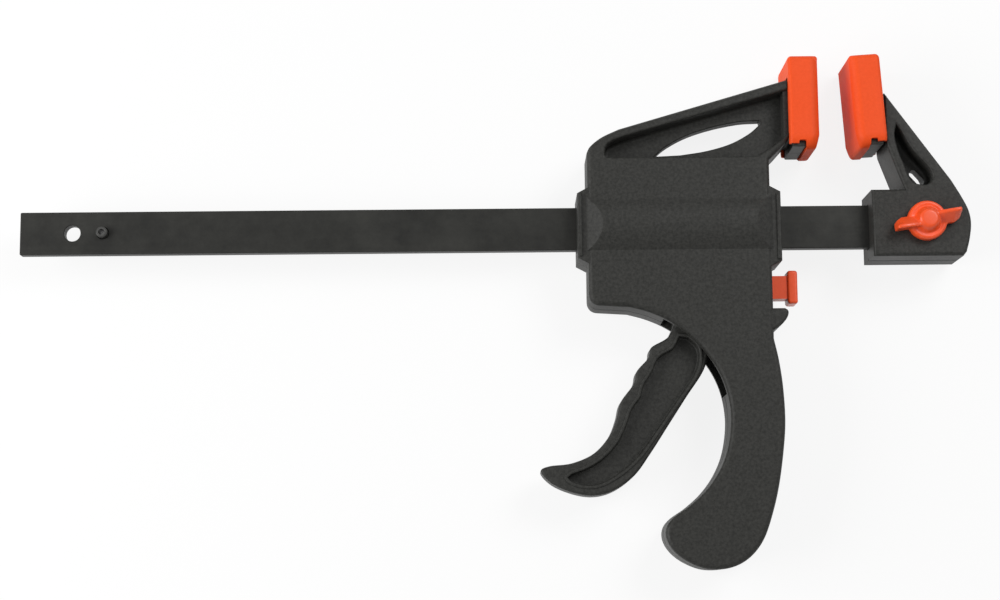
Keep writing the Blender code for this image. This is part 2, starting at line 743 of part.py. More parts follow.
def screw_hole(part, name, place, side):
    """A blind pilot hole in the front shell, a clearance hole with a sunk seat in the rear one."""
    if side > 0:
        pilot = SHELL_SCREW_RADIUS + GAP / 2
        hole = rod(name, pilot, (*place, MID - OVERRUN), (*place, MID + PILOT_DEPTH), cutters, SMALL_SIDES)
        cut(part, hole)
        return
    clearance = SHELL_SCREW_RADIUS + GAP
    rear = MID - PANEL_HALF - OVERRUN
    hole = rod(name, clearance, (*place, rear), (*place, MID + OVERRUN), cutters, SMALL_SIDES)
    seat_floor = MID - PANEL_HALF + HEAD_SINK
    seat_radius = SHELL_SCREW_HEAD_RADIUS + GAP
    seat = rod(name + "_seat", seat_radius, (*place, rear), (*place, seat_floor), cutters, SMALL_SIDES)
    cut(part, hole, seat)


SHELL_SCREW_POINT_SHARE = 2
SHELL_SCREW_TIP_SHARE = 0.3
SHELL_SCREW_CROWN_SHARES = (0.7, 0.45)


def shell_screw(name, place):
    """A pan-head self-tapping screw, head down at the rear, with a cross recess."""
    seat = -PANEL_HALF + HEAD_SINK - GAP
    head_low = seat - SHELL_SCREW_HEAD
    tip = head_low + SHELL_SCREW_LENGTH
    crown_radius, crown_height = SHELL_SCREW_CROWN_SHARES
    point = SHELL_SCREW_RADIUS * SHELL_SCREW_POINT_SHARE
    profile = [
        (0, tip),
        (SHELL_SCREW_RADIUS * SHELL_SCREW_TIP_SHARE, tip),
        (SHELL_SCREW_RADIUS, tip - point),
        (SHELL_SCREW_RADIUS, seat),
        (SHELL_SCREW_HEAD_RADIUS, seat),
        (SHELL_SCREW_HEAD_RADIUS, head_low + SHELL_SCREW_HEAD * crown_height),
        (SHELL_SCREW_HEAD_RADIUS * crown_radius, head_low),
        (0, head_low),
    ]
    part = turned(name, profile, parts, SMALL_SIDES)
    for number, (wide, deep) in enumerate(((CROSS_SPAN, CROSS_WIDTH), (CROSS_WIDTH, CROSS_SPAN))):
        low = (-wide / 2, -deep / 2, head_low - OVERRUN)
        high = (wide / 2, deep / 2, head_low + CROSS_DEPTH)
        arm = block(f"{name}_cross_{number}", low, high, cutters)
        arm.location = (*place, MID)
        cut(part, arm)
    part.location = (*place, MID)
    return finish(part, zinc_steel)


# Pads
def pad_outline():
    """The pad from the side that it clamps with: square shoulders, and well-rounded lower corners."""
    low = (PAD_FOOT, MID - PAD_HALF_WIDTH)
    high = (PAD_TOP, MID + PAD_HALF_WIDTH)
    corners = [low, (high[0], low[1]), high, (low[0], high[1])]
    return rounded(corners, (PAD_FOOT_CORNER, PAD_TOP_CORNER, PAD_TOP_CORNER, PAD_FOOT_CORNER))


def pad(name):
    """The soft cap that slides down over a jaw head, modelled on the moving jaw."""
    part = across(name, pad_outline(), PAD_BACK, PAD_FACE, parts, PAD_EDGE)
    deep = PAD_HALF_WIDTH + OVERRUN
    slope = PAD_TAPER / PAD_TAPER_HEIGHT
    taper = slab(
        name + "_taper",
        [
            (PAD_FACE - PAD_TAPER - OVERRUN * slope, PAD_FOOT - OVERRUN),
            (PAD_FACE + OVERRUN, PAD_FOOT - OVERRUN),
            (PAD_FACE + OVERRUN, PAD_FOOT + PAD_TAPER_HEIGHT + OVERRUN / slope),
        ],
        MID - deep,
        MID + deep,
        cutters,
    )
    half = PAD_HALF_WIDTH - PAD_SIDE_WALL
    plate_left = PAD_BACK + PAD_LIP
    wall = PAD_FACE - PAD_FACE_WALL
    room = block(
        name + "_room",
        (plate_left, PAD_FOOT - OVERRUN, MID - half),
        (wall, PAD_TOP - PAD_TOP_WALL, MID + half),
        cutters,
    )
    mouth_half = half - PAD_LIP_OVERLAP
    mouth = block(
        name + "_mouth",
        (PAD_BACK - OVERRUN, PAD_FOOT - OVERRUN, MID - mouth_half),
        (plate_left + OVERRUN, ARM_NECK_TOP + NECK_LENGTH, MID + mouth_half),
        cutters,
    )
    hem = block(
        name + "_hem",
        (PAD_BACK - OVERRUN, PAD_FOOT - OVERRUN, MID - deep),
        (wall - GAP, PAD_FOOT + PAD_HEM, MID + deep),
        cutters,
    )
    notch = block(
        name + "_notch",
        (wall - PAD_NOTCH_WIDTH, PAD_FOOT, MID - deep),
        (wall - GAP, PAD_FOOT + PAD_NOTCH_HEIGHT, MID + deep),
        cutters,
    )
    cut(part, taper, room, mouth, hem, notch)
    return finish(part, orange_pad)


# Bar and stop pin
def bar(name):
    low = (BAR_START, -BAR_HALF, MID - BAR_THICKNESS / 2)
    high = (BAR_END, BAR_HALF, MID + BAR_THICKNESS / 2)
    part = block(name, low, high, parts, SMALL_EDGE)
    deep = BAR_THICKNESS
    holes = {
        "tail": (BAR_START + TAIL_HOLE_INSET, BAR_HOLE / 2),
        "pin": (BAR_START + PIN_HOLE_INSET, STOP_PIN_DIAMETER / 2 + GAP / 6),
        "screw": (SCREW_X, BAR_HOLE / 2),
    }
    for kind, (x, radius) in holes.items():
        hole = rod(f"{name}_{kind}_hole", radius, (x, 0, MID - deep), (x, 0, MID + deep), cutters)
        cut(part, hole)
    return finish(part, black_steel)


def stop_pin(name):
    outer = STOP_PIN_DIAMETER / 2
    inner = STOP_PIN_BORE / 2
    half = STOP_PIN_LENGTH / 2
    chamfer = SMALL_EDGE
    profile = [
        (inner, half),
        (outer - chamfer, half),
        (outer, half - chamfer),
        (outer, chamfer - half),
        (outer - chamfer, -half),
        (inner, -half),
    ]
    part = turned(name, profile, parts)
    part.location = (BAR_START + PIN_HOLE_INSET, 0, MID)
    return finish(part, zinc_steel)


# Fixed jaw
JAW_BACK_SHARES = [(0.88, -0.90), (0.955, -0.52), (1.0, -0.06), (0.956, 0.35), (0.813, 0.77), (0.604, 1.27)]
JAW_FOOT_SHARE = 0.81
JAW_ARM_TOP_SHARES = [(-0.86, 0.976)]
JAW_ARM_FRONT_SHARES = [(-0.826, 0.632), (-0.520, 0.340), (-0.418, 0.265)]
JAW_POCKET_SHARES = [
    (-0.56, 0.745), (-0.47, 0.705), (-0.23, 0.558), (0.093, 0.428), (0.192, 0.357), (0.17, 0.316),
    (0.044, 0.285), (-0.203, 0.298), (-0.33, 0.349), (-0.423, 0.440), (-0.527, 0.538), (-0.600, 0.660),
]
JAW_SLOT_SHARES = [(-0.19, 0.420), (0.070, 0.318)]
SLOT_END_SHARE = 0.45


def jaw_point(share):
    return (SCREW_X + JAW_BACK * share[0], JAW_RISE * share[1])


def fixed_jaw_outline():
    points = [(SCREW_X + JAW_BACK * x, JAW_HALF_HEIGHT * y) for x, y in JAW_BACK_SHARES]
    back = smooth(points, 2 * CURVE_STEPS)
    left = SCREW_X - JAW_FRONT
    foot = [(left, -JAW_DROP), (SCREW_X + JAW_BACK * JAW_FOOT_SHARE, -JAW_DROP)]
    arm = [jaw_point(share) for share in JAW_ARM_TOP_SHARES + JAW_ARM_FRONT_SHARES[:-1]]
    corner = [(jaw_point(JAW_ARM_FRONT_SHARES[-1])[0], JAW_HALF_HEIGHT), (left, JAW_HALF_HEIGHT)]
    return foot + back + arm + corner


def toe_in():
    """Takes the moving jaw's head or pad to the fixed jaw: mirrored in X, then leaned towards it."""
    mirrored = Matrix.Scale(-1, 4, (1, 0, 0))
    pivot_y = PAD_TOP - PAD_TAPER_HEIGHT
    lean = Matrix.Rotation(TOE_IN, 4, "Z")
    to_pivot = Matrix.Translation((-PAD_FACE, -pivot_y, 0))
    back = Matrix.Translation((PAD_FACE + JAW_OPENING, pivot_y, 0))
    return back @ lean @ mirrored @ to_pivot


def mirrored_copy(part, matrix):
    """Moves a mesh by a matrix that mirrors it, and turns its faces out again."""
    part.data.transform(matrix)
    part.data.flip_normals()
    return part


def fixed_jaw(name):
    part = slab(name, fixed_jaw_outline(), MID - JAW_HALF, MID + JAW_HALF, parts, JAW_EDGE)
    deep = JAW_HALF + OVERRUN
    trim_box = block(
        name + "_trim",
        (ARM_REACH, ARM_FOOT, MID - deep),
        (PAD_FACE + OVERRUN, 2 * PAD_TOP, MID + deep),
        cutters,
    )
    mirrored_copy(trim_box, toe_in())
    cut(part, trim_box)
    outline = smooth([jaw_point(share) for share in [*JAW_POCKET_SHARES, JAW_POCKET_SHARES[0]]])[:-1]
    for side in (-1, 1):
        z = sorted((MID + side * JAW_WEB_HALF, MID + side * deep))
        cut(part, slab(f"{name}_pocket_{side}", outline, z[0], z[1], cutters))
    ends = [Vector(jaw_point(share)) for share in JAW_SLOT_SHARES]
    sideways = (ends[1] - ends[0]).normalized().orthogonal() * JAW_SLOT_WIDTH / 2
    corners = [ends[0] + sideways, ends[0] - sideways, ends[1] - sideways, ends[1] + sideways]
    capsule = rounded(corners, [JAW_SLOT_WIDTH * SLOT_END_SHARE] * len(corners))
    cut(part, slab(name + "_slot", capsule, MID - deep, MID + deep, cutters))
    plate, neck = head(name + "_head", JAW_NECK_TOP, cutters)
    for piece in (neck, plate):
        mirrored_copy(piece, toe_in())
        join(part, piece)

    clear = BAR_HALF + GAP
    slot_half = BAR_THICKNESS / 2 + GAP
    socket = block(
        name + "_socket",
        (SCREW_X - JAW_FRONT - OVERRUN, -clear, MID - slot_half),
        (BAR_END + GAP, clear, MID + slot_half),
        cutters,
    )
    hole = rod(name + "_hole", BAR_HOLE / 2, (SCREW_X, 0, MID - deep), (SCREW_X, 0, MID + deep), cutters)
    nut_radius = NUT_ACROSS_FLATS / 2 / math.cos(math.radians(30)) + GAP
    nut_floor = MID - JAW_HALF + NUT_RECESS + NUT_THICKNESS + GAP
    nut_room = rod(
        name + "_nut_room", nut_radius, (SCREW_X, 0, MID - deep), (SCREW_X, 0, nut_floor), cutters, 6
    )
    cut(part, socket, hole, nut_room)
    seam_low = MID - JAW_STEP / 2
    groove = block(
        name + "_seam",
        (SCREW_X - JAW_FRONT - OVERRUN, -JAW_DROP - OVERRUN, seam_low),
        (SCREW_X + JAW_BACK * JAW_FOOT_SHARE, -JAW_DROP + JAW_STEP, seam_low + JAW_STEP),
        cutters,
    )
    cut(part, groove)
    return finish(part, black_plastic)


# Clamp screw, nut and knob
def clamp_screw(name):
    radius = SCREW_DIAMETER / 2
    top = JAW_HALF + KNOB_SOCKET
    bottom = -JAW_HALF + NUT_RECESS
    chamfer = SMALL_EDGE
    profile = [
        (0, top),
        (radius - chamfer, top),
        (radius, top - chamfer),
        (radius, bottom + chamfer),
        (radius - chamfer, bottom),
        (0, bottom),
    ]
    part = turned(name, profile, parts)
    part.location = (SCREW_X, 0, MID)
    return finish(part, zinc_steel)


def clamp_nut(name):
    low = MID - JAW_HALF + NUT_RECESS
    part = rod(
        name,
        NUT_ACROSS_FLATS / 2 / math.cos(math.radians(30)),
        (SCREW_X, 0, low),
        (SCREW_X, 0, low + NUT_THICKNESS),
        parts,
        6,
    )
    bore = SCREW_DIAMETER / 2 + GAP / 6
    hole = rod(
        name + "_hole",
        bore,
        (SCREW_X, 0, low - OVERRUN),
        (SCREW_X, 0, low + NUT_THICKNESS + OVERRUN),
        cutters,
    )
    cut(part, hole)
    return finish(part, zinc_steel)


KNOB_FLANGE_SHARES = [(0, 1), (0.80, 1), (0.94, 0.86), (1, 0.62), (1, 0), (0, 0)]
KNOB_BOSS_SHARES = [(0, 1), (0.70, 1), (0.95, 0.80), (1.15, 0), (0, 0)]
WING_TIP_SHARE = 0.42


def wing_knob(name):
    """A round flange, a middle boss and two wings, with a socket for the screw's end."""
    part = turned(name, placed(KNOB_FLANGE_SHARES, (0, 0), KNOB_RADIUS, KNOB_FLANGE), parts)
    boss_foot = KNOB_FLANGE / 2
    boss = placed(KNOB_BOSS_SHARES, (0, boss_foot), KNOB_BOSS_RADIUS, KNOB_BOSS_HEIGHT - boss_foot)
    middle = turned(name + "_boss", boss, cutters)
    tip = WING_THICKNESS / 2
    half = [(WING_SPAN / 2, -tip), (WING_SPAN / 2, tip), (0, WING_WAIST / 2)]
    corners = half + [(-x, -y) for x, y in half]
    tip_round = WING_THICKNESS * WING_TIP_SHARE
    blade = rounded(corners, [tip_round, tip_round, WING_SPAN] * 2)
    wings = slab(name + "_wings", blade, WING_LIFT, WING_HEIGHT, cutters, 2 * SMALL_EDGE)
    sweep = (KNOB_RADIUS**2 + WING_DIP**2) / (2 * WING_DIP)
    dip_z = WING_HEIGHT - WING_DIP + sweep
    dip = rod(
        name + "_dip", sweep, (0, -WING_THICKNESS, dip_z), (0, WING_THICKNESS, dip_z), cutters, DIP_SIDES
    )
    cut(wings, dip)
    for piece in (wings, dip):
        moved(piece, Matrix.Rotation(WING_TILT, 4, "Z"))
    socket = rod(
        name + "_socket", SCREW_DIAMETER / 2 + GAP / 3, (0, 0, -OVERRUN), (0, 0, KNOB_SOCKET), cutters
    )
    join(part, middle, wings)
    cut(part, socket)
    place = (SCREW_X, 0, MID + JAW_HALF + GAP)
    for piece in (part, middle, wings, dip, socket):
        piece.location = place
    return finish(part, orange_plastic)


# Trigger
TRIGGER_FRONT_SHARES = [
    (-0.108, 0.200), (-0.156, 0.260), (-0.262, 0.305), (-0.284, 0.355), (-0.360, 0.417), (-0.384, 0.478),
    (-0.470, 0.562), (-0.500, 0.639), (-0.548, 0.720), (-0.650, 0.801), (-0.795, 0.846), (-0.943, 0.859),
]
TRIGGER_TAIL_SHARES = [(-0.998, 0.884), (-0.923, 0.942), (-0.790, 0.983), (-0.657, 0.998), (-0.524, 0.975)]
TRIGGER_BACK_SHARES = [(-0.388, 0.906), (-0.280, 0.803), (-0.162, 0.675), (-0.038, 0.540), (0.079, 0.414)]
TRIGGER_NECK_SHARES = [(0.122, 0.300), (0.118, 0.180), (0.094, 0.062)]
TRIGGER_WEB_FRONT_SHARES = [
    (-0.121, 0.285), (-0.154, 0.325), (-0.240, 0.362), (-0.290, 0.425), (-0.342, 0.485), (-0.370, 0.545),
    (-0.423, 0.595), (-0.465, 0.672), (-0.518, 0.745), (-0.610, 0.810), (-0.710, 0.855), (-0.790, 0.880),
]
TRIGGER_WEB_BACK_SHARES = [
    (-0.776, 0.897), (-0.647, 0.900), (-0.516, 0.872), (-0.403, 0.826), (-0.317, 0.760), (-0.163, 0.612),
    (-0.082, 0.530), (0.006, 0.438), (0.030, 0.380), (0.005, 0.330),
]
NOSE_NECK_SHARE = 0.62
NOSE_WAIST_SHARE = 0.72


def trigger_points(shares):
    """Shares of the trigger's reach and length, measured from its pivot."""
    return placed(shares, (TRIGGER_PIVOT_X, -TRIGGER_PIVOT_DROP), TRIGGER_REACH, -TRIGGER_LENGTH)


def trigger_outline():
    pivot = Vector((TRIGGER_PIVOT_X, -TRIGGER_PIVOT_DROP))
    nose = Vector((NOSE_X, NOSE_Y))
    lean = (nose - pivot).normalized()
    right = Vector((lean.y, -lean.x))
    hub_right = pivot + right * TRIGGER_HUB
    hub_left = pivot - right * TRIGGER_HUB
    neck = pivot + lean * NOSE_ARM * NOSE_NECK_SHARE
    neck_side = right * NOSE_RADIUS * NOSE_WAIST_SHARE
    around = []
    for step in range(ARC_STEPS * 2 + 1):
        angle = math.radians(180) * step / (ARC_STEPS * 2)
        around.append(nose + (right * math.cos(angle) + lean * math.sin(angle)) * NOSE_RADIUS)
    above = [hub_right, neck + neck_side, *around, neck - neck_side, hub_left]
    body = TRIGGER_FRONT_SHARES + TRIGGER_TAIL_SHARES + TRIGGER_BACK_SHARES + TRIGGER_NECK_SHARES
    return [tuple(point) for point in above] + smooth(trigger_points(body))


def trigger(name):
    part = slab(name, trigger_outline(), MID - TRIGGER_HALF, MID + TRIGGER_HALF, parts, TRIGGER_EDGE)
    web = smooth(trigger_points(TRIGGER_WEB_FRONT_SHARES)) + smooth(trigger_points(TRIGGER_WEB_BACK_SHARES))
    for side in (-1, 1):
        z = sorted((MID + side * TRIGGER_WEB_HALF, MID + side * (TRIGGER_HALF + OVERRUN)))
        cut(part, slab(f"{name}_pocket_{side}", web, z[0], z[1], cutters))
    pivot = (TRIGGER_PIVOT_X, -TRIGGER_PIVOT_DROP)
    deep = TRIGGER_HALF + OVERRUN
    bore = TRIGGER_PIN_DIAMETER / 2 + GAP / 3
    cut(part, rod(name + "_bore", bore, (*pivot, MID - deep), (*pivot, MID + deep), cutters, SMALL_SIDES))
    place_origin(part, (*pivot, MID))
    return finish(part, black_plastic)


def place_origin(part, point):
    """Moves a part's origin to a point on its joint's axis, and leaves its shape where it is."""
    tools = [change.object for change in part.modifiers if change.type == "BOOLEAN"]
    for piece in (part, *tools):
        piece.data.transform(Matrix.Translation(-Vector(point)))
        piece.location = point


def trigger_pin(name):
    x = TRIGGER_PIVOT_X
    y = -TRIGGER_PIVOT_DROP
    half = TRIGGER_PIN_LENGTH / 2
    part = rod(name, TRIGGER_PIN_DIAMETER / 2, (x, y, MID - half), (x, y, MID + half), parts, SMALL_SIDES)
    return finish(part, zinc_steel)


# Plates and springs
def drive_plate(name):
    left = DRIVE_PLATE_RIGHT - PLATE_THICKNESS
    part = block(
        name,
        (left, -DRIVE_PLATE_DROP, MID - DRIVE_PLATE_HALF_WIDTH),
        (DRIVE_PLATE_RIGHT, DRIVE_PLATE_RISE, MID + DRIVE_PLATE_HALF_WIDTH),
        parts,
        SMALL_EDGE,
    )
    cut(part, bar_window(name + "_window", left - OVERRUN, DRIVE_PLATE_RIGHT + OVERRUN, GAP))
    return finish(part, plain_steel)


def bar_window(name, left, right, play):
    half_height = BAR_HALF + play
    half_width = BAR_THICKNESS / 2 + GAP
    low = (left, -half_height, MID - half_width)
    return block(name, low, (right, half_height, MID + half_width), cutters)


def brake_plate(name):
    """The canted plate that holds the bar, modelled square to the bar and then leaned about its upper end."""
    half = PLATE_THICKNESS / 2
    part = block(
        name,
        (-half, -BRAKE_PLATE_DROP - BRAKE_PIVOT_RISE, -BRAKE_PLATE_HALF_WIDTH),
        (half, half, BRAKE_PLATE_HALF_WIDTH),
        parts,
        SMALL_EDGE,
    )
    lean = PLATE_THICKNESS / 2 * math.sin(BRAKE_CANT) + BRAKE_PIVOT_RISE * (1 - math.cos(BRAKE_CANT))
    half_height = BAR_HALF + lean + BRAKE_HOLE_PLAY
    half_width = BAR_THICKNESS / 2 + GAP
    window = block(
        name + "_window",
        (-half - OVERRUN, -BRAKE_PIVOT_RISE - half_height, -half_width),
        (half + OVERRUN, -BRAKE_PIVOT_RISE + half_height, half_width),
        cutters,
    )
    cut(part, window)
    for piece in (part, window):
        piece.location = (BRAKE_PIVOT_X, BRAKE_PIVOT_RISE, MID)
        piece.rotation_euler = (0, 0, BRAKE_CANT)
    return finish(part, plain_steel)


def drive_spring(name):
    start = (-BLOCK_INSIDE, 0, MID)
    end = (DRIVE_PLATE_RIGHT - PLATE_THICKNESS - GAP, 0, MID)
    return finish(coil(name, start, end, DRIVE_COIL_RADIUS, DRIVE_WIRE, DRIVE_TURNS, parts), plain_steel)


def brake_spring(name):
    y = -BRAKE_SPRING_DROP
    below = BRAKE_PIVOT_RISE + BRAKE_SPRING_DROP - BRAKE_COIL_RADIUS - BRAKE_WIRE / 2
    face = BRAKE_PIVOT_X + below * math.tan(BRAKE_CANT) - PLATE_THICKNESS / 2 / math.cos(BRAKE_CANT)
    start = (RIB_X + RIB_THICKNESS + GAP, y, MID)
    end = (face - GAP, y, MID)
    return finish(coil(name, start, end, BRAKE_COIL_RADIUS, BRAKE_WIRE, BRAKE_TURNS, parts), plain_steel)


# Release button
def release_button(name):
    """Outer flange, stem through the housing's side, catch inside it and nose that moves the brake plate."""
    y = -BUTTON_DROP
    part = block(
        name,
        (BUTTON_REACH - BUTTON_FLANGE, y - BUTTON_FLANGE_HALF_HEIGHT, MID - BUTTON_FLANGE_HALF_WIDTH),
        (BUTTON_REACH, y + BUTTON_FLANGE_HALF_HEIGHT, MID + BUTTON_FLANGE_HALF_WIDTH),
        parts,
        BUTTON_EDGE,
    )
    catch_right = BLOCK_INSIDE - GAP
    stem = block(
        name + "_stem",
        (catch_right - BUTTON_CATCH / 2, y - BUTTON_STEM_HALF_HEIGHT, MID - BUTTON_STEM_HALF_WIDTH),
        (BUTTON_REACH - BUTTON_FLANGE / 2, y + BUTTON_STEM_HALF_HEIGHT, MID + BUTTON_STEM_HALF_WIDTH),
        cutters,
    )
    wide = BUTTON_STEM_HALF_WIDTH + BUTTON_CATCH_LIP
    catch = block(
        name + "_catch",
        (catch_right - BUTTON_CATCH, y - BUTTON_STEM_HALF_HEIGHT, MID - wide),
        (catch_right, y + BUTTON_STEM_HALF_HEIGHT, MID + wide),
        cutters,
    )
    lean = math.tan(BRAKE_CANT) * BRAKE_ARM
    touch = BRAKE_PIVOT_X + lean + PLATE_THICKNESS / 2 / math.cos(BRAKE_CANT) + GAP / 2
    centre = touch + BUTTON_NOSE_RADIUS
    width = BUTTON_STEM_HALF_WIDTH - OVERRUN / 2
    tip = rod(
        name + "_tip", BUTTON_NOSE_RADIUS, (centre, y, MID - width), (centre, y, MID + width), cutters
    )
    tongue = block(
        name + "_tongue",
        (centre, y - BUTTON_NOSE_RADIUS, MID - width),
        (catch_right - BUTTON_CATCH / 2, y + BUTTON_NOSE_RADIUS, MID + width),
        cutters,
    )
    join(part, stem, catch, tongue, tip)
    return finish(part, orange_plastic)


# The whole clamp
for old in list(bpy.data.objects):
    bpy.data.objects.remove(old, do_unlink=True)

parts = collection("bar_clamp")
cutters = collection("cutters")

black_plastic = material("black_plastic", (0.045, 0.045, 0.042), 0.55)
orange_plastic = material("orange_plastic", (0.85, 0.11, 0.02), 0.45)
orange_pad = material("orange_pad", (0.85, 0.12, 0.03), 0.6)
black_steel = material("black_steel", (0.022, 0.022, 0.022), 0.5, 0.6)
plain_steel = material("plain_steel", (0.35, 0.35, 0.35), 0.4, 1.0)
zinc_steel = material("zinc_steel", (0.6, 0.6, 0.62), 0.3, 1.0)

shell("front_shell", 1)
shell("rear_shell", -1)
pad("moving_jaw_pad")
fixed_pad = pad("fixed_jaw_pad")
for piece in (fixed_pad, *[change.object for change in fixed_pad.modifiers if change.type == "BOOLEAN"]):
    mirrored_copy(piece, toe_in())
bar("bar")
stop_pin("stop_pin")
fixed_jaw("fixed_jaw")
clamp_screw("clamp_screw")
clamp_nut("clamp_nut")
wing_knob("wing_knob")
trigger("trigger")
trigger_pin("trigger_pin")
drive_plate("drive_plate")
drive_spring("drive_spring")
brake_plate("brake_plate")
brake_spring("brake_spring")
release_button("release_button")
for count, spot in enumerate(screw_places(), 1):
    shell_screw(f"shell_screw_{count}", spot)
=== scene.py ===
"""Studio scene of a one-hand bar clamp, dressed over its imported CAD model. Metres, in the frame of the CAD."""

import math

import bmesh
import bpy
from mathutils import Matrix, Vector


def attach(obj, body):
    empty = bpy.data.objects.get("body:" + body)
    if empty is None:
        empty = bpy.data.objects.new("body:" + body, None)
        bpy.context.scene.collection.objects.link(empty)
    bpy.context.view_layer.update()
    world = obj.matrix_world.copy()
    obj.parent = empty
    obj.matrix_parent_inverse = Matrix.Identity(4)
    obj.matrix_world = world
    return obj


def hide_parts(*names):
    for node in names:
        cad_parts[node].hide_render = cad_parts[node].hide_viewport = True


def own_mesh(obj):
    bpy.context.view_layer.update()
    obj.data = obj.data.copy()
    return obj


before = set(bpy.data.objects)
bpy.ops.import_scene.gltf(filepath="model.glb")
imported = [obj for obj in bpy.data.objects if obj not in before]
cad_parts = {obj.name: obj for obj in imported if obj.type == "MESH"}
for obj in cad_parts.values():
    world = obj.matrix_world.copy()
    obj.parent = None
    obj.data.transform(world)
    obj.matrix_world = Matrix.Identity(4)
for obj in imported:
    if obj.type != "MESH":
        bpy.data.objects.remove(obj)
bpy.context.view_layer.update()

# Clearances and finish
GAP = 0.0003
RUNNING_GAP = 0.0003
SEAM = 0.0003
SEAM_CHAMFER = 0.0003
OVERRUN = 0.002
SMALL_EDGE = 0.0005
RIM = 0.0009
LENS_RIM = 0.0006
POCKET_FILLET = 0.0018
WELD = 0.000001
NEAR = 10 * WELD
MITRE_LIMIT = 0.35
UNFOLD_PASSES = 12
SHARP_ANGLE = math.radians(20)
FLAT_FACE_WEIGHT = 100
EDGE_SEGMENTS = 3
EDGE_PROFILE = 0.5
WIRE_RESOLUTION = 3
ARC_STEPS = 8
RIM_STEPS = 5
CURVE_STEPS = 6
COIL_STEPS = 24
ROUND_SIDES = 48

# Bar
BAR_LENGTH = 0.3725
BAR_HEIGHT = 0.0173
BAR_THICKNESS = 0.0050
BAR_HOLE = 0.0065
HOLE_CHAMFER = 0.0003
TAIL_HOLE_INSET = 0.0210
PIN_HOLE_INSET = 0.0332
SCREW_HOLE_INSET = 0.0113
STOP_PIN_DIAMETER = 0.0045
STOP_PIN_BORE = 0.0024
STOP_PIN_LENGTH = 0.0110

# Housing: panels, bulge round the drive spring, collars at both ends
CREST_HALF = 0.0155
PANEL_HALF = 0.0125
WALL = 0.0026
HOUSING_EDGE = 0.0020
BLOCK_HALF_WIDTH = 0.0363
BLOCK_DROP = 0.0324
BLOCK_CORNER = 0.0042
BULGE_HALF_HEIGHT = 0.0104
BULGE_CREST_HALF_WIDTH = 0.0304
COLLAR_REACH = 0.0404
COLLAR_RISE = 0.0128
COLLAR_LEFT_DROP = 0.0133
COLLAR_RIGHT_DROP = 0.0150
COLLAR_SHOULDER = 0.0022
COLLAR_EDGE = 0.0008
LIP_WIDTH = 0.0018
LIP_HEIGHT = 0.0011
GUARD_REACH = 0.0061
GUARD_TOP = 0.0340
GUARD_HEIGHT = 0.0085
GUARD_EDGE = 0.0012

# Jaw arm on the housing: height over its foot at the pad, web in the middle of its thickness
ARM_FOOT = 0.0270
ARM_REACH = 0.0442
ARM_RISE = 0.0314
WEB_HALF = 0.0030

# Pistol grip
GRIP_REACH = 0.0398
GRIP_LENGTH = 0.1033

# Jaw heads and pads
PAD_THICKNESS = 0.0121
PAD_HEIGHT = 0.0378
PAD_HALF_WIDTH = 0.0150
PAD_FOOT = 0.0299
PAD_FACE_WALL = 0.0052
PAD_SIDE_WALL = 0.0022
PAD_TOP_WALL = 0.0032
PAD_LIP = 0.0010
PAD_LIP_OVERLAP = 0.0012
PAD_BACK_EDGE = 0.0015
PAD_FACE_EDGE = 0.0036
PAD_TOP_EDGE = 0.0012
PAD_TOP_CORNER = 0.0026
PAD_FOOT_CORNER = 0.0050
PAD_TAPER = 0.0013
PAD_TAPER_HEIGHT = 0.0056
PAD_HEM = 0.0020
PAD_NOTCH_WIDTH = 0.0032
PAD_NOTCH_HEIGHT = 0.0032
NECK_LENGTH = 0.0016
NECK_FOOT = 0.0046
ARM_NECK_TOP = 0.0579
JAW_NECK_TOP = 0.0507
HEAD_RAISE = 0.0009
JAW_OPENING = 0.0128
TOE_IN = math.radians(3.6)

# Fixed jaw, measured from the clamp screw's axis
JAW_HALF = 0.0120
JAW_FRONT = 0.0209
JAW_BACK = 0.0182
JAW_HALF_HEIGHT = 0.0133
JAW_DROP = 0.0136
JAW_RISE = 0.0530
JAW_EDGE = 0.0015
JAW_HEAD_REACH = 0.0161
JAW_STEP = 0.0009
JAW_WEB_HALF = 0.0030
JAW_SLOT_WIDTH = 0.0031

# Clamp screw, nut and wing knob
SCREW_DIAMETER = 0.0060
NUT_ACROSS_FLATS = 0.0100
NUT_THICKNESS = 0.0050
NUT_RECESS = 0.0010
KNOB_RADIUS = 0.0078
KNOB_FLANGE = 0.0042
KNOB_BOSS_RADIUS = 0.0043
KNOB_BOSS_HEIGHT = 0.0078
KNOB_SOCKET = 0.0060
KNOB_VOXEL = 0.00032
KNOB_SMOOTHING = 5
KNOB_SOFTENING = 0.5
WING_SPAN = 0.0262
WING_THICKNESS = 0.0050
WING_HEIGHT = 0.0086
WING_LIFT = 0.0012
WING_RIDGE = 0.0013
WING_TILT = math.radians(8.0)

# Trigger and its pin
TRIGGER_HALF = 0.0080
TRIGGER_EDGE = 0.0013
TRIGGER_RIM = 0.0006
TRIGGER_FILLET = 0.0008
TRIGGER_POCKET_SPREAD = 0.0006
TRIGGER_WEB_HALF = 0.0030
TRIGGER_LEDGE = 0.0005
TRIGGER_BEAD = 0.0014
TRIGGER_PIVOT_X = 0.0040
TRIGGER_PIVOT_DROP = 0.0230
TRIGGER_HUB = 0.0055
TRIGGER_SWING = math.radians(19.0)
TRIGGER_REACH = 0.0601
TRIGGER_LENGTH = 0.0840
NOSE_RADIUS = 0.0021
NOSE_ARM = 0.0114
TRIGGER_PIN_DIAMETER = 0.0040
TRIGGER_PIN_LENGTH = 0.0232

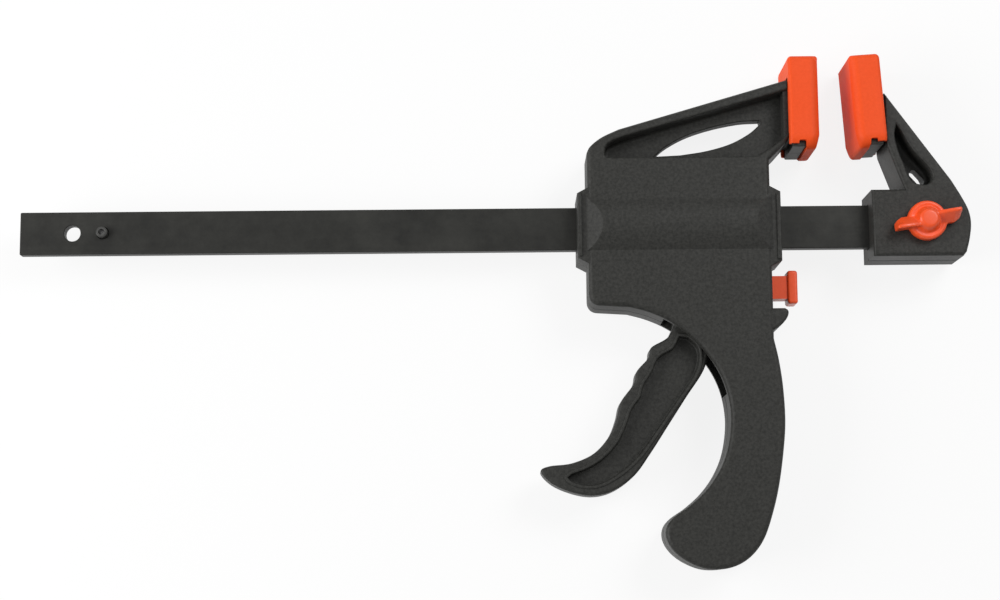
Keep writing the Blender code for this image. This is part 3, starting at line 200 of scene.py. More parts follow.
# Drive plate, brake plate and their springs
PLATE_THICKNESS = 0.0030
DRIVE_WIRE = 0.0014
DRIVE_COIL_RADIUS = 0.01015
DRIVE_TURNS = 8
BRAKE_PLATE_HALF_WIDTH = 0.0080
BRAKE_PIVOT_X = 0.0215
BRAKE_PIVOT_RISE = 0.0140
BRAKE_WIRE = 0.0007
BRAKE_COIL_RADIUS = 0.0027
BRAKE_TURNS = 5
BRAKE_SPRING_DROP = 0.0210
SPIGOT_RADIUS = 0.0019
SPIGOT_LENGTH = 0.0022
RIB_THICKNESS = 0.0018
RIB_X = 0.0122
RIB_HALF_HEIGHT = 0.0052

# Release button
BUTTON_DROP = 0.0246
BUTTON_TRAVEL = 0.0045
BUTTON_REACH = 0.0472
BUTTON_FLANGE = 0.0041
BUTTON_FLANGE_HALF_HEIGHT = 0.0067
BUTTON_FLANGE_HALF_WIDTH = 0.0048
BUTTON_STEM_HALF_HEIGHT = 0.0046
BUTTON_STEM_HALF_WIDTH = 0.0036
BUTTON_CATCH = 0.0020
BUTTON_CATCH_LIP = 0.0014
BUTTON_NOSE_RADIUS = 0.0020
BUTTON_EDGE = 0.0011
BUTTON_EDGE_SEGMENTS = 4

# Shell screws
BOSS_RADIUS = 0.0042
SHELL_SCREW_RADIUS = 0.0013
SHELL_SCREW_HEAD_RADIUS = 0.0028
SHELL_SCREW_HEAD = 0.0020
SHELL_SCREW_LENGTH = 0.0165
SHELL_SCREW_POINT_SHARE = 2
SHELL_SCREW_TIP_SHARE = 0.3
SHELL_SCREW_DOME_SHARE = 0.55
HEAD_SINK = 0.0032
SEAT_CHAMFER = 0.0004
PILOT_DEPTH = 0.0092
CROSS_WIDTH = 0.0008
CROSS_SPAN = 0.0030
CROSS_DEPTH = 0.0011

# Places worked out from the sizes above
MID = CREST_HALF
LIFT = Matrix.Translation((0, 0, MID))
BAR_HALF = BAR_HEIGHT / 2
CAVITY_HALF = PANEL_HALF - WALL
BLOCK_INSIDE = BLOCK_HALF_WIDTH - WALL
ARM_LEFT = -BLOCK_HALF_WIDTH
ARM_SPAN = ARM_REACH + BLOCK_HALF_WIDTH
PAD_BACK = ARM_REACH + GAP
PAD_FACE = PAD_BACK + PAD_THICKNESS
HEAD_THICKNESS = PAD_THICKNESS - PAD_LIP - PAD_FACE_WALL - 2 * GAP
PAD_TOP = PAD_FOOT + PAD_HEIGHT
SCREW_X = PAD_FACE + JAW_OPENING + PAD_THICKNESS + JAW_HEAD_REACH
BAR_END = SCREW_X + SCREW_HOLE_INSET
BAR_START = BAR_END - BAR_LENGTH
DRIVE_BORE = DRIVE_COIL_RADIUS + DRIVE_WIRE / 2 + 2 * GAP
TRIGGER_PIVOT = (TRIGGER_PIVOT_X, -TRIGGER_PIVOT_DROP)
NOSE_X = TRIGGER_PIVOT_X + NOSE_ARM * math.sin(TRIGGER_SWING / 2)
NOSE_Y = -TRIGGER_PIVOT_DROP + NOSE_ARM * math.cos(TRIGGER_SWING / 2)
DRIVE_PLATE_RIGHT = NOSE_X - NOSE_RADIUS - RUNNING_GAP / 2
BRAKE_ARM = BRAKE_PIVOT_RISE + BUTTON_DROP
BRAKE_CANT = BUTTON_TRAVEL / BRAKE_ARM

# Outlines as shares of the spans that they follow
BULGE_SHARES = [
    (1.10, -0.06), (1.00, 0.03), (0.90, 0.165), (0.75, 0.44), (0.50, 0.765), (0.25, 0.945), (0.0, 1.0),
    (-0.25, 0.945), (-0.50, 0.765), (-0.75, 0.457), (-0.90, 0.20), (-1.00, 0.0),
]
ARM_CREST_SHARES = [(0.0, 0.073), (0.019, 0.159), (0.074, 0.271), (0.159, 0.373)]
ARM_TOP_SHARE = (1.0, 1.0)
ARM_UNDERSIDE_SHARES = [(1.0, 0.215), (0.956, 0.089)]
ARM_ROOT_SHARE = -0.045
GRIP_SHARES = [
    (0.911, 0.132), (0.957, 0.218), (0.990, 0.325), (1.000, 0.451), (0.970, 0.572), (0.919, 0.693),
    (0.853, 0.792), (0.770, 0.881), (0.666, 0.940), (0.532, 0.980), (0.367, 1.000), (0.177, 0.998),
    (0.000, 0.970), (-0.124, 0.932), (-0.192, 0.887), (-0.190, 0.842), (-0.116, 0.805), (0.038, 0.764),
    (0.197, 0.709), (0.329, 0.640), (0.420, 0.558), (0.463, 0.461), (0.456, 0.379), (0.410, 0.302),
    (0.327, 0.233), (0.210, 0.170), (0.071, 0.114), (-0.114, 0.063), (-0.314, 0.028), (-0.506, 0.007),
]
ARM_POCKET_LEFT_SHARES = [(0.105, 0.0), (0.088, 0.040), (0.099, 0.162), (0.151, 0.245), (0.261, 0.331)]
ARM_POCKET_RIGHT_SHARES = [(0.968, 0.213), (0.898, 0.083), (0.8425, 0.010), (0.790, 0.0)]
ARM_POCKET_TOP_SHARE = 0.866
ARM_POCKET_END_SHARE = 0.306
LENS_TOP_SHARES = [
    (0.342, 0.073), (0.405, 0.204), (0.505, 0.341), (0.630, 0.446), (0.768, 0.516), (0.872, 0.531),
]
LENS_BOTTOM_SHARES = [(0.876, 0.487), (0.818, 0.360), (0.724, 0.231), (0.605, 0.142), (0.474, 0.089)]
SLOT_LEFT = -0.0068
SLOT_SHARES = [
    (0.62, 0.00), (0.62, 0.22), (0.50, 0.365), (0.28, 0.365), (0.0, 0.20), (SLOT_LEFT / GRIP_REACH, 0.17),
]
SCREW_GRIP_SHARES = [(0.72, 0.13), (0.74, 0.52), (0.22, 0.88)]
GUARD_SHARES = [(0.76, 0.0), (0.95, 0.10), (0.98, 0.26), (0.84, 0.50), (0.50, 0.78), (0.05, 1.0)]
BRAKE_SEAT_SHARE = 1.5
JAW_BACK_SHARES = [(0.88, -0.90), (0.955, -0.52), (1.0, -0.06), (0.956, 0.35), (0.813, 0.77), (0.604, 1.27)]
JAW_FOOT_SHARE = 0.81
JAW_ARM_SHARES = [(-0.795, 0.994), (-0.826, 0.632), (-0.520, 0.340), (-0.418, 0.265)]
JAW_POCKET_SHARES = [
    (-0.56, 0.745), (-0.47, 0.705), (-0.23, 0.558), (0.093, 0.428), (0.192, 0.357), (0.17, 0.316),
    (0.044, 0.285), (-0.203, 0.298), (-0.33, 0.349), (-0.423, 0.440), (-0.527, 0.538), (-0.600, 0.660),
]
JAW_SLOT_SHARES = [(-0.19, 0.420), (0.070, 0.318)]
SLOT_END_SHARE = 0.45
KNOB_FLANGE_SHARES = [(0, 0.90), (0.70, 0.90), (0.84, 0.97), (0.93, 0.95), (1, 0.76), (1, 0), (0, 0)]
KNOB_BOSS_SHARES = [(0, 1), (0.68, 0.99), (0.88, 0.90), (1.02, 0.68), (1.15, 0.42), (1.3, 0.2), (1.45, 0), (0, 0)]
WING_SECTION_SHARES = [
    (-0.12, 0.70, -1.0), (0.25, 0.78, -1.0), (0.50, 0.94, -1.0),
    (0.78, 1.0, -1.0), (0.92, 1.0, -0.6), (1.0, 0.95, -0.1),
]
WING_HEEL_SHARE = 0.34
TRIGGER_SHARES = [
    (-0.108, 0.200), (-0.156, 0.260), (-0.262, 0.305), (-0.284, 0.355), (-0.360, 0.417), (-0.384, 0.478),
    (-0.470, 0.562), (-0.500, 0.639), (-0.548, 0.720), (-0.650, 0.801), (-0.795, 0.846), (-0.943, 0.859),
    (-0.998, 0.884), (-0.923, 0.942), (-0.790, 0.983), (-0.657, 0.998), (-0.524, 0.975), (-0.388, 0.906),
    (-0.280, 0.803), (-0.162, 0.675), (-0.038, 0.540), (0.079, 0.414), (0.122, 0.300), (0.118, 0.180),
    (0.094, 0.062),
]
TRIGGER_WEB_FRONT_SHARES = [
    (-0.070, 0.262), (-0.116, 0.318), (-0.208, 0.358), (-0.255, 0.425), (-0.307, 0.485), (-0.335, 0.545),
    (-0.388, 0.597), (-0.432, 0.680), (-0.490, 0.760), (-0.590, 0.834), (-0.700, 0.880), (-0.790, 0.903),
]
TRIGGER_WEB_BACK_SHARES = [
    (-0.808, 0.914), (-0.790, 0.926), (-0.715, 0.942), (-0.620, 0.938), (-0.506, 0.897), (-0.397, 0.834),
    (-0.313, 0.764), (-0.163, 0.612), (-0.082, 0.530), (0.006, 0.438), (0.040, 0.370), (0.034, 0.310),
    (-0.020, 0.268),
]
NOSE_NECK_SHARE = 0.62
NOSE_WAIST_SHARE = 0.72


# Materials. A noise is given by its bumps to the metre, its detail, its roughness and its scale along X, where
# less than 1 draws it out. Stops and spreads are the ends of a range, and reliefs are metres
MOTTLE = (850, 5, 0.75, 1)
RUBBED = (45, 3, 0.55, 1)
GRAIN = (5200, 2, 0.55, 1)
EROSION = (600, 3, 0.55, 1)
CLOUDS = (60, 8, 0.75, 1)
LINES = (900, 3, 0.55, 0.02)
SCRATCHES = (3000, 2, 0.55, 1)
PATTERN_STOPS = (0.3, 0.7)
MOTTLE_STOPS = (0.36, 0.64)
RUBBED_SPREAD = (-0.05, 0.06)
LINE_SPREAD = (-0.07, 0.08)
EROSION_DEPTH = 2
LINE_RELIEF = 0.000005
SCRATCH_RELIEF = 0.000006


def add_node(tree, kind, inputs):
    """A shader node, with each input set to a value or linked to another node's output."""
    node = tree.nodes.new("ShaderNode" + kind)
    for socket, value in inputs.items():
        if isinstance(value, bpy.types.NodeSocket):
            tree.links.new(value, node.inputs[socket])
        else:
            node.inputs[socket].default_value = value
    return node


def finish(name, tone, stops, shades, gloss, roughness, reliefs, specular, metallic=0.0):
    """A Principled material whose patterns are worked out from the place on the piece, in metres."""
    material = bpy.data.materials.new(name)
    material.use_nodes = True
    tree = material.node_tree
    place = tree.nodes.new("ShaderNodeTexCoord").outputs["Object"]

    def pattern(scale, detail, rough, stretch):
        drawn = add_node(tree, "Mapping", {"Scale": (stretch, 1, 1), "Vector": place}).outputs["Vector"]
        inputs = {"Scale": scale, "Detail": detail, "Roughness": rough, "Vector": drawn}
        return add_node(tree, "TexNoise", inputs).outputs["Fac"]

    ramp = add_node(tree, "ValToRGB", {"Fac": pattern(*tone)})
    for element, position, shade in zip(ramp.color_ramp.elements, stops, shades):
        element.position = position
        element.color = (*shade, 1)
    names = ("From Min", "From Max", "To Min", "To Max", "Value")
    spread = add_node(tree, "MapRange", dict(zip(names, (*PATTERN_STOPS, *roughness, pattern(*gloss)))))
    outputs = {"Base Color": ramp.outputs["Color"], "Roughness": spread.outputs["Result"]}
    for noise, distance in reliefs:
        relief = add_node(tree, "Bump", {"Distance": distance, "Strength": 1.0, "Height": pattern(*noise)})
        if "Normal" in outputs:
            tree.links.new(outputs["Normal"], relief.inputs["Normal"])
        outputs["Normal"] = relief.outputs["Normal"]
    shader = tree.nodes["Principled BSDF"]
    shader.inputs["Metallic"].default_value = metallic
    shader.inputs["Specular IOR Level"].default_value = specular
    for socket, output in outputs.items():
        tree.links.new(output, shader.inputs[socket])
    return material


def plastic_finish(name, dark, light, roughness, grain, specular):
    """Moulded plastic: speckles, a fine eroded grain and a few rubbed, slightly glossier areas."""
    spread = [roughness + change for change in RUBBED_SPREAD]
    reliefs = [(GRAIN, grain), (EROSION, grain * EROSION_DEPTH)]
    return finish(name, MOTTLE, MOTTLE_STOPS, (dark, light), RUBBED, spread, reliefs, specular)


def steel_finish(name, dark, light, metallic, roughness, specular=0.5):
    """Drawn or rolled steel: a cloudy tone, fine lengthwise lines and small scratches."""
    spread = [roughness + change for change in LINE_SPREAD]
    reliefs = [(LINES, LINE_RELIEF), (SCRATCHES, SCRATCH_RELIEF)]
    return finish(name, CLOUDS, PATTERN_STOPS, (dark, light), LINES, spread, reliefs, specular, metallic)


black_plastic = plastic_finish("black_moulding", (0.015, 0.015, 0.0135), (0.037, 0.037, 0.034), 0.50, 0.00002, 0.18)
orange_plastic = plastic_finish("orange_moulding", (0.84, 0.078, 0.012), (0.88, 0.092, 0.017), 0.32, 0.000006, 0.40)
orange_pad = plastic_finish("orange_rubber", (0.83, 0.074, 0.008), (0.88, 0.086, 0.012), 0.60, 0.000015, 0.25)
black_steel = steel_finish("blackened_steel", (0.017, 0.017, 0.016), (0.034, 0.034, 0.031), 0.35, 0.45, 0.15)
plain_steel = steel_finish("ground_steel", (0.36, 0.36, 0.36), (0.48, 0.48, 0.47), 1.0, 0.36)
zinc_steel = steel_finish("zinc_plated_steel", (0.55, 0.56, 0.58), (0.68, 0.68, 0.69), 1.0, 0.28)
dulled_zinc = steel_finish("dulled_zinc", (0.045, 0.045, 0.043), (0.075, 0.075, 0.072), 0.8, 0.45, 0.2)


# Outlines: smooth runs through chosen points, rounded corners and outlines moved in or out
def smooth(points):
    """Points along one smooth curve that passes through all the given points."""
    padded = [Vector(points[0]) * 2 - Vector(points[1]), *map(Vector, points)]
    padded.append(Vector(points[-1]) * 2 - Vector(points[-2]))
    found = []
    for a, b, c, d in zip(padded, padded[1:], padded[2:], padded[3:]):
        for step in range(CURVE_STEPS):
            t = step / CURVE_STEPS
            out = (c - a) / 2
            back = (d - b) / 2
            curve = (2 * t**3 - 3 * t**2 + 1) * b + (t**3 - 2 * t**2 + t) * out
            curve += (3 * t**2 - 2 * t**3) * c + (t**3 - t**2) * back
            found.append(tuple(curve))
    found.append(tuple(points[-1]))
    return found


def rounded(points, radii):
    """A closed outline with each corner of the given polygon rounded to its own radius."""
    found = []
    for before, corner, after, radius in zip([points[-1], *points], points, [*points[1:], points[0]], radii):
        corner = Vector(corner)
        to_before = (Vector(before) - corner).normalized()
        to_after = (Vector(after) - corner).normalized()
        half_angle = to_before.angle(to_after) / 2
        reach = radius / math.tan(half_angle)
        centre = corner + (to_before + to_after).normalized() * radius / math.sin(half_angle)
        start = corner + to_before * reach - centre
        end = corner + to_after * reach - centre
        turn = start.angle_signed(end)
        for step in range(ARC_STEPS + 1):
            found.append(tuple(centre + Matrix.Rotation(-turn * step / ARC_STEPS, 2) @ start))
    return found


def placed(shares, origin, width, height):
    """Points given as shares of a width and a height, measured from an origin."""
    return [(origin[0] + width * x, origin[1] + height * y) for x, y in shares]


def without_repeats(points):
    """The points of a closed outline as vectors, with those that lie on the one before left out."""
    kept = []
    for point in map(Vector, points):
        if not kept or (point - kept[-1]).length > NEAR:
            kept.append(point)
    if (kept[0] - kept[-1]).length < NEAR:
        kept.pop()
    return kept


def offset(points, distance):
    """A closed outline moved outwards by a distance, or inwards where the distance is negative.

    Where it is tighter than the distance, an edge would turn round, so its two ends are drawn together.
    """
    ahead = points[1:] + points[:1]
    area = sum(a.x * b.y - b.x * a.y for a, b in zip(points, ahead))
    side = math.copysign(1, area)
    moved_points = []
    for before, here, after in zip(points[-1:] + points[:-1], points, ahead):
        first = (here - before).normalized()
        second = (after - here).normalized()
        out = Vector((first.y + second.y, -first.x - second.x)) * side
        spread = max(1 + first.dot(second), MITRE_LIMIT)
        moved_points.append(here + out * distance / spread)
    for _ in range(UNFOLD_PASSES):
        for i, (here, after) in enumerate(zip(points, ahead)):
            follower = (i + 1) % len(points)
            if (moved_points[follower] - moved_points[i]).dot(after - here) < 0:
                middle = (moved_points[follower] + moved_points[i]) / 2
                moved_points[i] = moved_points[follower] = middle
    return moved_points


# Levels of a stacked solid, as (height, distance out) pairs
def arc_angles(steps=RIM_STEPS):
    return [math.radians(90) * step / steps for step in range(steps + 1)]


def foot_levels(low, edge):
    """A rounded lower rim: the outline drawn in by edge at the bottom and full above it."""
    return [(low + edge * (1 - math.cos(a)), -edge * (1 - math.sin(a))) for a in arc_angles()]


def crown_levels(high, edge):
    return [(high - edge * (1 - math.cos(a)), -edge * (1 - math.sin(a))) for a in reversed(arc_angles())]


def flare_levels(surface, flare):
    """The upper end of a cutter, which leaves a rounded rim where it comes out of a surface."""
    found = [(surface - flare + flare * math.sin(a), flare * (1 - math.cos(a))) for a in arc_angles()]
    return found + [(surface + OVERRUN, flare)]


def rim_levels(half, edge):
    """Both rounded rims of a solid that is as thick on both sides of the middle plane."""
    return foot_levels(-half, edge) + crown_levels(half, edge)


def pocket_levels(floor, fillet, surface, rim):
    """A cutter with a rounded foot on a pocket's floor and a rounded rim where it comes out."""
    return foot_levels(floor, fillet) + flare_levels(surface, rim)


# Solids
def keep(name, data):
    piece = bpy.data.objects.new(name, data)
    bpy.context.scene.collection.objects.link(piece)
    return piece


def built(name, work):
    """A piece from finished mesh work."""
    mesh = bpy.data.meshes.new(name)
    work.to_mesh(mesh)
    work.free()
    return keep(name, mesh)


def skin(work, rings):
    """Faces from each ring of vertices to the next."""
    for low, high in zip(rings, rings[1:]):
        for corners in zip(low, low[1:] + low[:1], high[1:] + high[:1], high):
            work.faces.new(list(dict.fromkeys(corners)))


def loft(rings):
    """Mesh work with a closed skin through rings of points, capped at both ends."""
    work = bmesh.new()
    rings = [[work.verts.new(point) for point in ring] for ring in rings]
    skin(work, rings)
    work.faces.new(rings[0][::-1])
    work.faces.new(rings[-1])
    bmesh.ops.recalc_face_normals(work, faces=work.faces)
    return work


def stack(name, outline, levels):
    """A closed solid from one outline repeated at several heights, moved out or in at each."""
    outline = without_repeats(outline)
    return built(name, loft([[(*point, z) for point in offset(outline, out)] for z, out in levels]))


def block(name, low, high, edge=0.0, segments=EDGE_SEGMENTS):
    """A box between two corners, with its edges rounded."""
    work = bmesh.new()
    bmesh.ops.create_cube(work, size=1)
    bmesh.ops.scale(work, vec=Vector(high) - Vector(low), verts=work.verts)
    bmesh.ops.translate(work, vec=(Vector(high) + Vector(low)) / 2, verts=work.verts)
    if edge:
        bmesh.ops.bevel(work, geom=work.edges, offset=edge, segments=segments, profile=EDGE_PROFILE, affect="EDGES")
    return built(name, work)


def slab(name, low, high, half, *rounding):
    """A box between two corners of its plan, as thick on both sides of the middle plane."""
    return block(name, (*low, -half), (*high, half), *rounding)


def rod(name, radius, start, end, sides=ROUND_SIDES):
    """A round bar between two points."""
    work = bmesh.new()
    along = Vector(end) - Vector(start)
    bmesh.ops.create_cone(work, cap_ends=True, segments=sides, radius1=radius, radius2=radius, depth=along.length)
    turn = along.to_track_quat("Z", "Y").to_matrix().to_4x4()
    work.transform(Matrix.Translation((Vector(start) + Vector(end)) / 2) @ turn)
    return built(name, work)


def post(name, radius, place, low, high, sides=ROUND_SIDES):
    """A round bar that stands upright at a place of the plan."""
    return rod(name, radius, (*place, low), (*place, high), sides)


def turned(name, profile, place):
    """A profile of (radius, z) points, turned about the Z axis and stood at a place."""
    work = bmesh.new()
    angles = [math.tau * step / ROUND_SIDES for step in range(ROUND_SIDES)]
    rings = []
    for radius, z in profile:
        if radius < WELD:
            rings.append([work.verts.new((0, 0, z))] * ROUND_SIDES)
        else:
            rings.append([work.verts.new((radius * math.cos(a), radius * math.sin(a), z)) for a in angles])
    skin(work, rings + rings[:1] if profile[0][0] > WELD else rings)
    bmesh.ops.recalc_face_normals(work, faces=work.faces)
    work.transform(Matrix.Translation(place))
    return built(name, work)


def coil(name, start, end, radius, wire, turns):
    """A round-wire coil spring along X, as a swept tube."""
    curve = bpy.data.curves.new(name, "CURVE")
    curve.dimensions = "3D"
    curve.bevel_depth = wire / 2
    curve.bevel_resolution = WIRE_RESOLUTION
    curve.use_fill_caps = True
    spline = curve.splines.new("POLY")
    count = COIL_STEPS * turns
    spline.points.add(count)
    for i, point in enumerate(spline.points):
        angle = math.tau * i / COIL_STEPS
        x = start[0] + wire / 2 + (end[0] - start[0] - wire) * i / count
        point.co = (x, start[1] + radius * math.cos(angle), start[2] + radius * math.sin(angle), 1)
    piece = keep(name, curve)
    mesh = evaluated_mesh(piece)
    bpy.data.objects.remove(piece)
    bpy.data.curves.remove(curve)
    return shaded(keep(name, mesh))


def evaluated_mesh(piece):
    bpy.context.view_layer.update()
    return bpy.data.meshes.new_from_object(piece.evaluated_get(bpy.context.evaluated_depsgraph_get()))


def combine(piece, tools, operation):
    """Applies one Boolean after another to a piece and removes the tools."""
    for tool in tools:
        change = piece.modifiers.new(tool.name, "BOOLEAN")
        change.operation = operation
        change.object = tool
        change.solver = "EXACT"
    piece.data = evaluated_mesh(piece)
    piece.modifiers.clear()
    for tool in tools:
        bpy.data.objects.remove(tool)
    return piece


def cut(piece, *tools):
    return combine(piece, tools, "DIFFERENCE")


def join(piece, *tools):
    return combine(piece, tools, "UNION")


def trim(piece, *tools):
    return combine(piece, tools, "INTERSECT")


def prism(name, outline, half):
    return stack(name, outline, [(-half, 0), (half, 0)])


def cut_both_sides(piece, name, outline, levels):
    for side in (-1, 1):
        cut(piece, moved(stack(name, outline, levels), Matrix.Scale(side, 4, (0, 0, 1))))


def moved(piece, matrix):
    piece.data.transform(matrix)
    if matrix.determinant() < 0:
        piece.data.flip_normals()
    return piece


def shaded(piece):
    """Smooth shading over rounded edges, with flat faces kept flat."""
    work = bmesh.new()
    work.from_mesh(piece.data)
    bmesh.ops.remove_doubles(work, verts=work.verts, dist=WELD)
    bmesh.ops.dissolve_degenerate(work, edges=work.edges, dist=WELD)
    work.to_mesh(piece.data)
    work.free()
    piece.data.shade_smooth()
    piece.data.set_sharp_from_angle(angle=SHARP_ANGLE)
    weigh = piece.modifiers.new("flat_faces", "WEIGHTED_NORMAL")
    weigh.keep_sharp = True
    weigh.weight = FLAT_FACE_WEIGHT
    return piece


def dressed(piece, material, body, slot, *nodes):
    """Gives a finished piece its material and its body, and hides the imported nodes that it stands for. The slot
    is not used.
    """
    piece.data.materials.clear()
    piece.data.materials.append(material)
    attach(piece, body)
    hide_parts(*nodes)


# Housing outlines
def grip_run():
    return smooth(placed(GRIP_SHARES, (0, -BLOCK_DROP), GRIP_REACH, -GRIP_LENGTH))


def foot_corner():
    """The rounded lower left corner of the housing's block, from its underside to its left side."""
    centre = (-BLOCK_HALF_WIDTH + BLOCK_CORNER, -BLOCK_DROP + BLOCK_CORNER)
    angles = [math.radians(270) - angle for angle in arc_angles(ARC_STEPS)]
    return placed([(math.cos(a), math.sin(a)) for a in angles], centre, BLOCK_CORNER, BLOCK_CORNER)


def arm_points(shares):
    return placed(shares, (ARM_LEFT, ARM_FOOT), ARM_SPAN, ARM_RISE)


def housing_outline():
    """Block, jaw arm and grip in one outline. The arm runs on past its end, where it is cut off."""
    crest = smooth(arm_points(ARM_CREST_SHARES))
    top = Vector(arm_points([ARM_TOP_SHARE])[0])
    slope = (top - Vector(crest[-1])).normalized()
    low, underside = map(Vector, arm_points(ARM_UNDERSIDE_SHARES))
    root = (BLOCK_HALF_WIDTH, ARM_FOOT + ARM_RISE * ARM_ROOT_SHARE)
    arm_end = [tuple(top + slope * OVERRUN * 2), tuple(low + (low - underside).normalized() * OVERRUN * 2)]
    right_side = [tuple(underside), root, (BLOCK_HALF_WIDTH, -BLOCK_DROP)]
    return foot_corner() + crest + arm_end + right_side + grip_run()


def cavity_outline():
    """The block and the grip without the arm, which is solid between its pockets."""
    top = [(-BLOCK_HALF_WIDTH, ARM_FOOT), (BLOCK_HALF_WIDTH, ARM_FOOT), (BLOCK_HALF_WIDTH, -BLOCK_DROP)]
    return foot_corner() + top + grip_run()


def arm_pocket_outline():
    left = smooth(arm_points(ARM_POCKET_LEFT_SHARES))
    right = smooth(arm_points(ARM_POCKET_RIGHT_SHARES))
    end = arm_points([(1.0, ARM_POCKET_TOP_SHARE), (1.0, ARM_POCKET_END_SHARE)])
    beyond = [(x + OVERRUN, y) for x, y in end]
    return left + [end[0], beyond[0], beyond[1], end[1]] + right


def lens_outline():
    return smooth(arm_points(LENS_TOP_SHARES)) + smooth(arm_points(LENS_BOTTOM_SHARES))


def slot_outline():
    """The opening in the underside and the grip's inner wall that the trigger enters by and swings in."""
    inside = [(SLOT_LEFT, -BLOCK_DROP + WALL + OVERRUN)]
    return inside + placed(SLOT_SHARES, (0, -BLOCK_DROP + WALL), GRIP_REACH, -GRIP_LENGTH)


def screw_places():
    """Where the shell screws stand: three in the block, three down the grip."""
    inset = BOSS_RADIUS - 2 * SMALL_EDGE
    upper = ARM_FOOT - WALL - inset
    left = -BLOCK_INSIDE + inset
    lower = -BLOCK_DROP + WALL + inset
    grip = placed(SCREW_GRIP_SHARES, (0, -BLOCK_DROP), GRIP_REACH, -GRIP_LENGTH)
    return [(left, upper), (-left, upper), (left, lower), *grip]


# Housing shells. Each is modelled as the front half, with heights measured from the split, and then mirrored
def across(name, outline, low, high):
    """A slab whose outline lies in Y and Z and which runs along X."""
    part = stack(name, outline, [(low, 0), (high, 0)])
    return moved(part, Matrix(((0, 0, 1, 0), (1, 0, 0, 0), (0, 1, 0, 0), (0, 0, 0, 1))))


def bulge():
    """The low barrel over the drive spring, cut off by a slope at each end."""
    rise = CREST_HALF - PANEL_HALF
    outline = smooth(placed(BULGE_SHARES, (0, PANEL_HALF), BULGE_HALF_HEIGHT, rise))
    outline += [(outline[-1][0], PANEL_HALF - WALL / 2), (outline[0][0], PANEL_HALF - WALL / 2)]
    slope = rise / (BLOCK_HALF_WIDTH - BULGE_CREST_HALF_WIDTH)
    inside = (COLLAR_REACH - BLOCK_HALF_WIDTH) / 2
    barrel = across("barrel", outline, -BLOCK_HALF_WIDTH - inside, BLOCK_HALF_WIDTH + inside)
    foot = (BLOCK_HALF_WIDTH + inside + SMALL_EDGE, PANEL_HALF - (inside + SMALL_EDGE) * slope)
    crest = (BULGE_CREST_HALF_WIDTH - SMALL_EDGE / slope, CREST_HALF + SMALL_EDGE)
    ends = [foot, crest, (-crest[0], crest[1]), (-foot[0], foot[1]), (-foot[0], 0), (foot[0], 0)]
    wedge = prism("barrel_ends", ends, BULGE_HALF_HEIGHT + OVERRUN)
    moved(wedge, Matrix.Rotation(math.radians(90), 4, "X"))
    return trim(barrel, wedge)


def collars():
    """The two guide collars that the bar leaves the housing by, each with a raised lip."""
    found = []
    inside = WALL / 2
    half = PANEL_HALF - GAP
    shoulder = COLLAR_SHOULDER + COLLAR_SHOULDER / (COLLAR_REACH - BLOCK_HALF_WIDTH) * inside
    for side, drop in ((-1, COLLAR_LEFT_DROP), (1, COLLAR_RIGHT_DROP)):
        inner = side * (BLOCK_HALF_WIDTH - inside)
        outer = side * COLLAR_REACH
        outline = [(inner, COLLAR_RISE + shoulder), (outer, COLLAR_RISE), (outer, -drop), (inner, -drop - shoulder)]
        found.append(stack("collar", outline, [(-OVERRUN, 0), *crown_levels(half, COLLAR_EDGE)]))
        ends = sorted((side * (COLLAR_REACH - LIP_WIDTH), side * (COLLAR_REACH - SMALL_EDGE / 2)))
        low = (ends[0], SMALL_EDGE - drop, half - LIP_HEIGHT)
        high = (ends[1], COLLAR_RISE - SMALL_EDGE, half + LIP_HEIGHT)
        found.append(block("collar_lip", low, high, SMALL_EDGE))
    return found


def head(neck_top):
    """The jaw head inside the pad: a plate, and a neck that the pad's lips grip behind."""
    plate_left = PAD_BACK + PAD_LIP + GAP
    half = PAD_HALF_WIDTH - PAD_SIDE_WALL - GAP
    neck_half = half - PAD_LIP_OVERLAP - GAP
    top = PAD_TOP - PAD_TOP_WALL - GAP
    low = (plate_left, PAD_FOOT + HEAD_RAISE)
    plate = slab("head_plate", low, (plate_left + HEAD_THICKNESS, top), half, SMALL_EDGE)
    foot = (ARM_REACH - NECK_LENGTH, PAD_FOOT + NECK_FOOT)
    return slab("head_neck", foot, (plate_left + HEAD_THICKNESS / 2, neck_top), neck_half), plate


def guard():
    """The fin below the release button."""
    root = BLOCK_HALF_WIDTH - WALL
    edge = placed(GUARD_SHARES, (BLOCK_HALF_WIDTH, -GUARD_TOP), GUARD_REACH, -GUARD_HEIGHT)
    outline = [(root, -GUARD_TOP - GUARD_HEIGHT), (root, -GUARD_TOP), *smooth(edge)]
    return stack("guard", outline, [(-OVERRUN, 0), *crown_levels(PANEL_HALF - GAP, GUARD_EDGE)])


def inner_fittings():
    """What stands up inside a shell: the brake plate's seat, the brake spring's rib and the bosses."""
    panel = CAVITY_HALF + SMALL_EDGE
    low = -OVERRUN
    seat_left = BRAKE_PIVOT_X - PLATE_THICKNESS * BRAKE_SEAT_SHARE
    corner = (BLOCK_INSIDE + SMALL_EDGE, ARM_FOOT - WALL + SMALL_EDGE, panel)
    rib_right = RIB_X + RIB_THICKNESS
    axis = -BRAKE_SPRING_DROP
    return [
        block("brake_seat", (seat_left, BAR_HALF + 4 * GAP, low), corner),
        block("rib", (RIB_X, axis - RIB_HALF_HEIGHT, low), (rib_right, axis + RIB_HALF_HEIGHT, panel)),
        rod("spigot", SPIGOT_RADIUS, (RIB_X + RIB_THICKNESS / 2, axis, 0), (rib_right + SPIGOT_LENGTH, axis, 0)),
        post("pin_boss", TRIGGER_HUB, TRIGGER_PIVOT, TRIGGER_HALF + RUNNING_GAP, panel),
        *[post("boss", BOSS_RADIUS, place, low, panel) for place in screw_places()],
    ]


